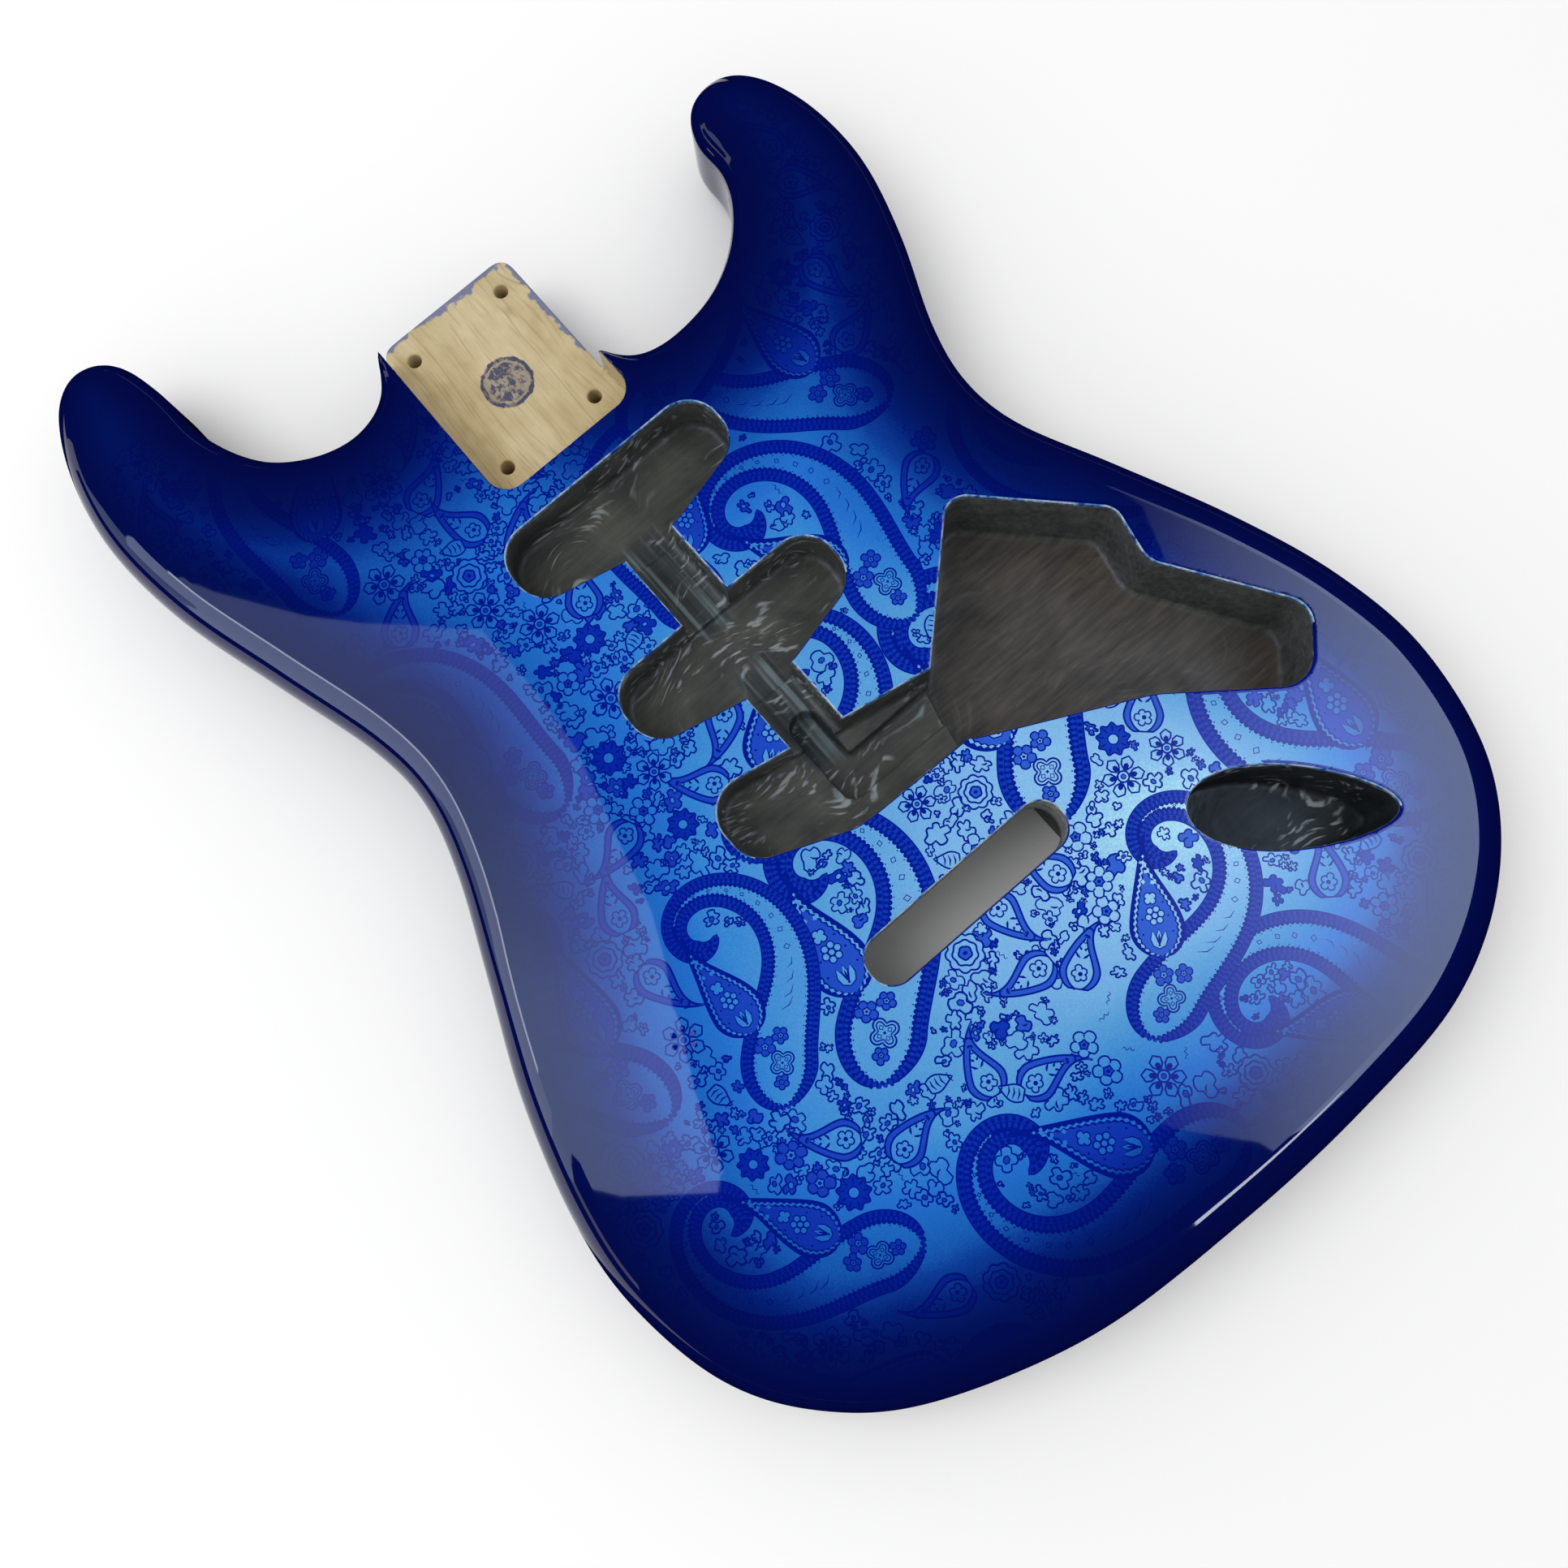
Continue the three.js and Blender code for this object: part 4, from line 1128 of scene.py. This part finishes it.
class Shader(Graph):
    """A node material. Sizes in its patterns are per metre of the object's own place."""

    def __init__(self, name, rough, coat=0.0, specular=0.5):
        self.mat = bpy.data.materials.new(name)
        self.mat.use_nodes = True
        super().__init__(self.mat.node_tree)
        self.out = self.tree.nodes["Principled BSDF"]
        self.set(self.out, {"Roughness": rough, "Coat Weight": coat, "Coat Roughness": 0.03,
                            "Coat IOR": 1.5, "Specular IOR Level": specular})
        self.place = self.node("TexCoord", output="Object")

    def noise(self, scale, detail=3.0, rough=0.5, angle=0.0, shift=(0, 0, 0), source=None):
        scale = scale if isinstance(scale, tuple) else (scale,) * 3
        place = self.node("Mapping", {
            "Vector": source or self.place, "Scale": scale, "Location": shift,
            "Rotation": (0, 0, math.radians(angle))})
        return self.node("TexNoise", {"Vector": place, "Scale": 1.0, "Detail": detail,
                                      "Roughness": rough})

    def ramp(self, factor, stops):
        ramp = self.node("ValToRGB", {"Fac": factor})
        elements = ramp.socket.node.color_ramp.elements
        while len(elements) < len(stops):
            elements.new(0.5)
        for element, (at, colour) in zip(elements, stops):
            element.position, element.color = at, colour_of(colour)
        return ramp

    def mix(self, factor, a, b):
        return self.node("Mix", {0: factor, 6: colour_of(a), 7: colour_of(b)}, 2, data_type="RGBA")

    def axes(self):
        split = self.node("SeparateXYZ", {"Vector": self.place}).socket.node
        return [Value(self, socket) * 1000 for socket in split.outputs]

    def bump(self, height, distance, strength):
        bump = self.node("Bump", {"Height": height, "Strength": strength, "Distance": distance})
        self.set(self.out, {"Normal": bump})

    def colour(self, value):
        self.set(self.out, {"Base Color": value})
        return self.mat


NAVY = (3, 10, 70)
BURST_FULL = 1.1
# The palest stops show only where the painted sheen raises the share
BURST_AND_SHEEN_STOPS = {
    LIGHT: [(0, NAVY), (0.18, (4, 30, 114)), (0.32, (13, 60, 150)), (0.45, (27, 98, 185)),
            (0.55, (36, 110, 203)), (0.64, (54, 132, 208)), (0.77, (88, 158, 216)),
            (0.88, (120, 178, 228)), (0.95, (135, 190, 235)), (1, (166, 223, 243))],
    MID: [(0, NAVY), (0.2, (3, 24, 118)), (0.45, (14, 48, 165)), (0.7, (28, 70, 190)),
          (1, (50, 100, 212))],
    DEEP: [(0, NAVY), (0.2, (2, 20, 112)), (0.5, (5, 36, 160)), (1, (20, 62, 186))],
    LINE: [(0, NAVY), (0.2, (1, 16, 108)), (0.5, (1, 22, 138)), (1, (4, 30, 148))],
}


def lacquer(name, tone, grain=0.0):
    """Clear gloss over a burst from a pale foil to navy, with sprayed mist at its border; its
    palest tones are a painted sheen.
    """
    s = Shader(name, rough=0.42, coat=1.0, specular=0.0)
    share = s.node("Attribute", output="Fac", attribute_name="burst_and_sheen")
    drift, mist = s.noise(34), s.noise(1500, 2)
    edge = ((drift - 0.5) * 0.09 + (mist - 0.5) * 0.10) * s.math("MINIMUM", share * 5, 1)
    colour = s.ramp(share / BURST_FULL + edge, BURST_AND_SHEEN_STOPS[tone])
    if grain:
        flakes = s.noise(3400, 2, 0.7)
        spark = (flakes - 0.5) * (share * grain)
        colour = s.node("HueSaturation", {"Color": colour, "Value": spark + 1.0})
        s.bump(flakes, 0.00004, 0.6)
    return s.colour(colour)


def conductive_paint(name, angle, floor_tint, wall_tint, glint, brushed, channel=False):
    """Black-brown brushed paint: soft mottling, streaks, and short curved strokes of painted glint.
    """
    s = Shader(name, rough=0.5, specular=0.4)
    wander = s.node("TexNoise", {"Vector": s.place, "Scale": 26.0, "Detail": 1.0}, 1)
    curved = s.vector_math("ADD", s.place, s.vector_math("MULTIPLY", wander, (0.045, 0.045, 0.01)))
    strokes = s.noise((120, 620, 300), 2, 0.45, angle, source=curved)
    streaks = s.noise((70, 700, 300), 4, 0.6, angle, (3, 1, 2))
    broad = s.noise((60, 85, 70), 4, 0.5, angle, (3, 1, 2), curved)
    patch = s.noise(52, 2, shift=(7, 2, 5))
    shade = streaks * brushed + broad * (1 - brushed)
    wall, floor = [
        s.ramp(shade, [(0.34, shaded(tint, 0.74)), (0.5, tint), (0.68, shaded(tint, 1.25))])
        for tint in (wall_tint, floor_tint)]
    normal = s.node("NewGeometry", output="Normal")
    facing = s.node("SeparateXYZ", {"Vector": normal}, 2)
    base = s.mix(s.step(facing, 0.55, 0.95), wall, floor)
    if channel:
        base = channel_streaks(s, base)
    # Painted glints: short pale curved strokes, in patches
    painted_highlight = s.step(strokes, 0.54, 0.68) * s.step(patch, 0.48, 0.6)
    rough = s.ramp(broad, [(0.3, (0.6, 0.6, 0.6, 1)), (0.7, (0.4, 0.4, 0.4, 1))])
    s.set(s.out, {"Roughness": rough})
    s.bump(strokes * (glint * 0.9) + broad, 0.0005, 0.6)
    return s.colour(s.mix(painted_highlight * glint, base, (166, 176, 180)))


def channel_streaks(s, base):
    """Long brush strokes along the channel, between the pickup cavities that it joins, with pale
    crests of painted sheen.
    """
    x, y, _ = s.axes()
    upper, lower = -54.5, -111
    from_middle = s.math("MINIMUM", abs(y - upper), abs(y - lower))
    outside = s.math("MAXIMUM", s.step(abs(x - CHANNEL_X), 5, 8.5), s.step(from_middle, 15, 24))
    along = s.noise((520, 12, 20), 3, shift=(4, 2, 1))
    # The pale bluish stop is a painted sheen on the streaks' crests
    groove = s.ramp(along, [(0.36, (36, 44, 48)), (0.5, (56, 64, 66)), (0.66, (112, 130, 138))])
    return s.mix((1.0 - outside) * 0.75, base, groove)


MARK_X, MARK_Y, MARK_RADIUS = 0, 38, 9.2
SPRAY_X, SPRAY_Y, SPRAY_END = 21.6, 24.0, 68.8


def ink_mark(s, x, y):
    """How much ink a plain round mark with a ring leaves at each place."""
    reach = s.math("SQRT", s.math("POWER", x - MARK_X, 2) + s.math("POWER", y - MARK_Y, 2))
    far = reach + (s.noise(420) - 0.5) * 1.8
    inked = 1.0 - s.step(far, MARK_RADIUS - 0.3, MARK_RADIUS + 0.3)
    gap = s.step(abs(far - MARK_RADIUS * 0.8), 0.15, 0.5)
    patchy = s.step(s.noise((520, 300, 400), 4, 0.65, 30, (1, 4, 2)), 0.42, 0.56)
    ink = patchy * 0.5 + s.step(far, MARK_RADIUS * 0.84, MARK_RADIUS * 0.9) * 0.3
    return s.math("MINIMUM", inked * (ink * gap + 0.4), 0.92)


def pocket_wood(name):
    """Bare pale wood: faint grain along the body, mottling, an ink mark and ragged overspray."""
    s = Shader(name, rough=0.62, specular=0.3)
    x, y, _ = s.axes()
    warp = s.node("CombineXYZ", {"X": s.noise((22, 9, 30), 2) * 0.03, "Y": 0.0, "Z": 0.0})
    bent = s.vector_math("ADD", s.place, warp)
    growth = s.noise((150, 12, 80), source=bent)
    fibres = s.noise((1300, 70, 900), source=bent)
    figure = s.noise((210, 120, 200), 4, 0.5, 25, (2, 5, 1))
    stain = s.noise((30, 22, 30), shift=(2, 5, 1))
    base = s.ramp(growth * 0.3 + stain * 0.45 + figure * 0.25,
                  [(0.36, (172, 153, 110)), (0.48, (192, 174, 133)), (0.6, (206, 191, 153))])
    base = s.mix(s.step(fibres, 0.5, 0.72) * 0.4, base, (152, 126, 86))
    line = s.noise((95, 5, 60), 1, shift=(0, 3, 1), source=bent)
    base = s.mix((1.0 - s.step(abs(line - 0.52), 0.0, 0.012)) * 0.4, base, (140, 116, 80))
    base = s.mix(ink_mark(s, x, y), base, (34, 48, 92))
    spray = s.noise(300, 4) * 7 + s.noise(60, 2) * 5
    corner = s.math("MINIMUM", x - SPRAY_X, y - SPRAY_Y)
    reach = s.math("MAXIMUM", y - SPRAY_END, corner)
    over = s.step(reach + (spray - 5.5), 4.2, 5.4)
    s.bump(fibres + growth + figure, 0.00022, 0.5)
    return s.colour(s.mix(over * 0.8, base, (78, 100, 150)))


def edge_chips_and_highlight(name, rough, coat, scale, stops):
    """An edge of mottled tones: chips where one finish breaks through another, and on the lip a
    painted highlight.
    """
    s = Shader(name, rough=rough, coat=coat, specular=0.4)
    return s.colour(s.ramp(s.noise(scale, 4), stops))


def sealed_wood(name, tint):
    """The thin dark coat that a machined wall gets under the lacquer."""
    s = Shader(name, rough=0.55, specular=0.35)
    grain = s.noise((300, 26, 260), 4)
    wood = s.ramp(grain, [(0.35, shaded(tint, 0.72)), (0.65, tint)])
    s.bump(grain, 0.0003, 0.5)
    return s.colour(s.mix(s.step(s.noise(900, 2), 0.6, 0.75), wood, shaded(tint, 1.5)))


mats = {
    "edge": lacquer("navy_lacquer", LIGHT), "hidden": sealed_wood("covered_wood", (150, 130, 95)),
    "wood": pocket_wood("bare_pocket_wood"),
    "rim": edge_chips_and_highlight("cut_lacquer_edge", 0.35, 0.6, 520, [
        (0.3, (6, 26, 110)), (0.52, (22, 66, 150)), (0.64, (120, 170, 205)),
        (0.7, (178, 196, 200))]),
    # The lip's pale tones are a painted highlight
    "lip": edge_chips_and_highlight("foil_lip_painted_highlight", 0.3, 0.5, 260, [
        (0.36, (20, 70, 160)), (0.46, (96, 150, 200)), (0.58, (176, 200, 212)),
        (0.7, (120, 150, 160))]),
    "spring": sealed_wood("sealed_back_cavity", (76, 75, 72)),
    "slot": sealed_wood("sealed_slot_wall", (148, 151, 150)),
    LIGHT: lacquer("foil_ground", LIGHT, 0.5), MID: lacquer("foil_mid_print", MID, 0.25),
    DEEP: lacquer("foil_deep_print", DEEP, 0.2), LINE: lacquer("foil_line_print", LINE, 0.15),
}

# How much of the foil shows through the burst at a distance from the edge
BURST_REACH = [(8, 0), (14, 0.03), (22, 0.075), (30, 0.19), (43, 0.385), (60, 0.51), (76, 0.62),
               (95, 0.66), (112, 0.68)]
# A painted sheen raises the share round a centre, by its spread and gain. Nothing shows below the
# last height
SHEEN_CENTRE, SHEEN_SPREAD, SHEEN_GAIN, BURST_FROM = (85, -232), 132, 0.68, 24


def add_burst_and_sheen(piece):
    """How far the foil shows through the burst: not at all at the edge, raised amid the lower bout
    by a painted sheen.
    """
    places = np.array([tuple(v.co) for v in piece.data.vertices]) * 1000
    share = np.interp(outline_distance(places[:, :2])[0], *zip(*BURST_REACH))
    # A painted sheen, brightest round its centre amid the lower bout
    near = np.exp(-((places[:, :2] - SHEEN_CENTRE) ** 2).sum(1) / SHEEN_SPREAD ** 2)
    share = np.minimum(share * (1 + SHEEN_GAIN * near), BURST_FULL)
    share = np.where(places[:, 2] > BURST_FROM, share, 0)
    piece.data.attributes.new("burst_and_sheen", "FLOAT", "POINT").data.foreach_set("value", share)


body = add_piece("lacquered_body", skin.points, skin.faces, skin.tags, mats)
add_burst_and_sheen(body)
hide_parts("bass_side_plank", "centre_plank", "treble_side_plank")
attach(body, "root")

sheet = add_piece("printed_top", *printed_sheet(layout()), mats)
add_burst_and_sheen(sheet)
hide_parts("printed_top_sheet")
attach(sheet, "root")

# Streak angle, floor and wall tints, share of painted glint, brushed share, and whether the channel
# is here
for key, *look in (("pickup", 20, (67, 68, 61), (66, 69, 65), 0.6, 0.35, True),
                   ("control", 44, (73, 68, 60), (76, 80, 78), 0.06, 0.6),
                   ("jack", 38, (44, 50, 51), (40, 45, 48), 0.9, 0.35)):
    paint = {"paint": conductive_paint(key + "_paint", *look)}
    piece = add_piece(key + "_cavity_paint", *coat_of_paint(liners[key]), paint)
    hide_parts(key + "_cavity_shielding")
    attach(piece, "root")


# The studio: a pale floor, soft cards, bright strips and black flags that only reflections see
def square(reach, z):
    return [(i * reach, j * reach, z) for i, j in CORNERS]


def add_card(name, points, material, faces=None):
    obj = add_object(name, points, faces or [tuple(range(len(points)))], [material])
    obj.visible_camera = obj.visible_diffuse = obj.visible_shadow = obj.visible_transmission = False


def glow(name, rgb, strength, start=None, end=None, least=0.0):
    """Plain light. From a start to an end it grows from its least share to its whole strength."""
    mat = bpy.data.materials.new(name)
    mat.use_nodes = True
    mat.node_tree.nodes.clear()
    graph = Graph(mat.node_tree)
    if start:
        span = np.array(end, float) - np.array(start, float)
        length = float(span @ span)
        place = graph.node("TexCoord", output="Object")
        scaled = (*(span * 1000 / length), 0)
        along = graph.vector_math("DOT_PRODUCT", place, scaled, output="Value")
        first = float(np.array(start) @ span) / length
        strength = graph.step(along, first, first + 1, strength * least, strength)
    light = graph.node("Emission", {0: (*rgb, 1), 1: strength})
    graph.node("OutputMaterial", {0: light})
    return mat


CARD_HEIGHT, FLAG_TOP = 394.5, 1100
EYE, CAMERA_TURN = np.array([-53.8, -196.1, 491.9]), (9.078, 2.230, -40.691)
SENSOR, FOCAL_PIXELS, FRAME_PIXELS = 36, 1800, 1932
MIRROR_SHARE = (CARD_HEIGHT - TOP) / (EYE[2] - TOP)
BASS_CARD = [
    (-66, 101), (-65, 53), (-69, 12), (-82, -36), (-95, -85), (-108, -113), (-127, -144),
    (-193, -191), (-285, -265), (-331, -232), (-352, -205), (-450, -168), (-620, -140),
    (-1100, -80), (-1500, 0), (-1500, 1500), (-848, 778), (-562, 481), (-505, 375), (-483, 303),
    (-380, 260), (-262, 235), (-174, 232), (-168, 220), (-154, 199), (-137, 174), (-115, 149),
    (-92, 127), (-78, 112)]
TREBLE_CARD = [
    (256, -60), (262, -92), (250, -125), (205, -120), (20, -320), (42, -355), (51, -366),
    (70, -388), (108, -515), (150, -550), (250, -480), (350, -430), (410, -330), (430, -240),
    (410, -150), (385, -90), (330, -40)]
for name, corners, light in (
        ("bass", BASS_CARD, ((0.58, 0.72, 1.0), 2.8, (-75, 60), (-170, -170), 0.52)),
        ("treble", TREBLE_CARD, ((0.58, 0.71, 1.0), 5.2, (170, -148), (317, -276), 0.0))):
    points = [(x, y, CARD_HEIGHT) for x, y in corners]
    add_card(name + "_card", points, glow(name + "_glow", *light))


def front_at(p):
    return float(face_height(p[None], 1)[0])


def mirrored_strip(name, width, tilt, below, material):
    """A bright strip, placed where a line of a width in degrees along the rounded edge mirrors it.

    Where the flat of the front would mirror it as well, the strip is left out.
    """
    rows, flat = [], []
    height = CARD_HEIGHT - below
    for p, n, r in zip(outline, inward, radii):
        spread = width(p, -n) / 2
        if spread <= 0:
            continue
        q = p + n * (r + 1)
        top = front_at(q)
        slope = math.atan2(front_at(q + n * 2) - top, 2)
        row = []
        for angle in (tilt - spread, tilt + spread):
            a = slope + math.radians(angle)
            normal = np.array([*(-n * math.sin(a)), math.cos(a)])
            place = np.array([*(p + n * r * (1 - math.sin(a))), top])
            view = unit(place - EYE)
            ray = view - 2 * float(view @ normal) * normal
            row.append(place + ray * (height - place[2]) / ray[2])
        rows.append(row)
        flat.append(any(front_inside(*(q[:2] + EYE[:2] * MIRROR_SHARE) / (1 + MIRROR_SHARE), 1)
                        for q in row))
    faces = [(2 * k, 2 * k + 1, 2 * k + 3, 2 * k + 2) for k in range(len(rows) - 1)
             if not flat[k] and not flat[k + 1]]
    add_card(name, [p for row in rows for p in row], material, faces)


def butt_width(p, out):
    """Narrows from the highlight's bass end to its treble end."""
    return 3.1 - (p[0] + 16) * 0.04 if -16 < p[0] < 46 and p[1] < -200 else 0


def bass_side(width, low, high):
    """One width all along a stretch of the bass side."""
    return lambda p, out: width if p[0] < -60 and out[0] < -0.5 and low < p[1] < high else 0


for name, width, tilt, below, light in (
        ("butt_strip", butt_width, 7, 4, ("butt_glow", (0.84, 0.9, 1.0), 13.0)),
        ("bass_strip", bass_side(2.6, -175, 52), 9, 6, ("bass_line", (0.8, 0.86, 1.0), 9.0)),
        ("bass_band", bass_side(15, -185, 70), 17, 3, ("bass_band", (0.62, 0.72, 1.0), 3.6))):
    mirrored_strip(name, width, tilt, below, glow(*light))
black = glow("flag_black", (0.0, 0.0, 0.0), 0.0)
add_card("overhead_flag", square(2600, FLAG_TOP), black)
for name, a, b, top in (
        ("right_flag", (1300, -1700), (1300, 1600), FLAG_TOP),
        ("far_flag", (-1300, 1600), (1300, 1600), FLAG_TOP),
        ("near_flag", (-1600, -1700), (1300, -1700), FLAG_TOP),
        ("bass_flag", (-1600, -420), (-1600, 1600), 420),
        ("low_bass_flag", (-1600, -1700), (-1600, -420), FLAG_TOP)):
    add_card(name, [(*a, 0), (*b, 0), (*b, top), (*a, top)], black)

PALE_MARGIN, FLAG_CENTRE, FLAG_REACH = 25, np.array([0.0, -120.0]), 9.0


def flag_start(p, n):
    """Where the floor's dark card begins beside a point of the outline, or None for bare floor."""
    (x, y), out_x = p, -n[0]
    # It touches the treble side, the butt and the lower bout, where they face from the camera
    if (p - EYE[:2]) @ n < 0 and y < 125:
        treble = x > 20 and (y <= 0 or (x >= 60 and out_x >= 0.1))
        if treble or y < -262 or (x < -60 and y < -186):
            return p
    # It touches the tongue's bass side and the bass horn too
    if x < 20 and y > 20 and (x > -60 or out_x > -0.2 or y > 100):
        return p
    # Beside the treble horn it leaves a pale margin
    return p - n * PALE_MARGIN if x > 0 and y > -25 else None


def floor_flag():
    points, faces = [], []
    starts = [flag_start(p, n) for p, n in zip(outline, inward)]
    for a, b in zip(starts, starts[1:] + starts[:1]):
        if a is None or b is None or np.linalg.norm(a - b) > 20:
            continue
        faces.append(tuple(range(len(points), len(points) + 4)))
        for p, share in ((a, 1.0), (b, 1.0), (b, FLAG_REACH), (a, FLAG_REACH)):
            points.append((*(FLAG_CENTRE + (p - FLAG_CENTRE) * share), 0.0))
    add_card("floor_flag", points, black, faces)


floor_flag()

SKY_LIGHT, LAMP_SIZE, LAMP_POWER = 0.78, 1.1, 8.5

world = bpy.data.worlds.new("world")
bpy.context.scene.world = world
world.use_nodes = True
sky = Graph(world.node_tree)
camera_ray = sky.node("LightPath", output="Is Camera Ray")
glossy_ray = Value(sky, camera_ray.socket.node.outputs["Is Glossy Ray"])
seen = sky.math("MAXIMUM", camera_ray, glossy_ray)
level = sky.node("MapRange", {"Value": seen, "To Min": SKY_LIGHT, "To Max": 1.0})
sky.set(world.node_tree.nodes["Background"], {0: (1, 1, 1, 1), 1: level})

lamp_data = bpy.data.lights.new("soft_lamp", "AREA")
lamp_data.shape, lamp_data.size, lamp_data.energy = "DISK", LAMP_SIZE, LAMP_POWER
lamp = bpy.data.objects.new("soft_lamp", lamp_data)
lamp.location = (-0.55, 0.35, 1.5)
lamp.rotation_euler = Vector((-0.55, 0.55, 1.5)).to_track_quat("Z", "Y").to_euler()
lamp.visible_glossy = False
bpy.context.scene.collection.objects.link(lamp)

pale = Shader("pale_floor", rough=0.9, specular=0.1)
pale_floor = pale.colour(pale.ramp(pale.noise(3, 2), [(0, (250, 250, 250)), (1, (255, 255, 255))]))
floor = add_object("floor", square(3000, 0), [(0, 1, 2, 3)], [pale_floor])
floor.location.z = -0.0005

cam = bpy.data.cameras.new("camera")
cam.sensor_width, cam.lens = SENSOR, FOCAL_PIXELS / FRAME_PIXELS * SENSOR
camera = bpy.data.objects.new("camera", cam)
camera.location = EYE / 1000
camera.rotation_euler = Euler([math.radians(a) for a in CAMERA_TURN], "XYZ")
bpy.context.scene.collection.objects.link(camera)
bpy.context.scene.camera = camera
bpy.context.scene.view_settings.view_transform = "Standard"
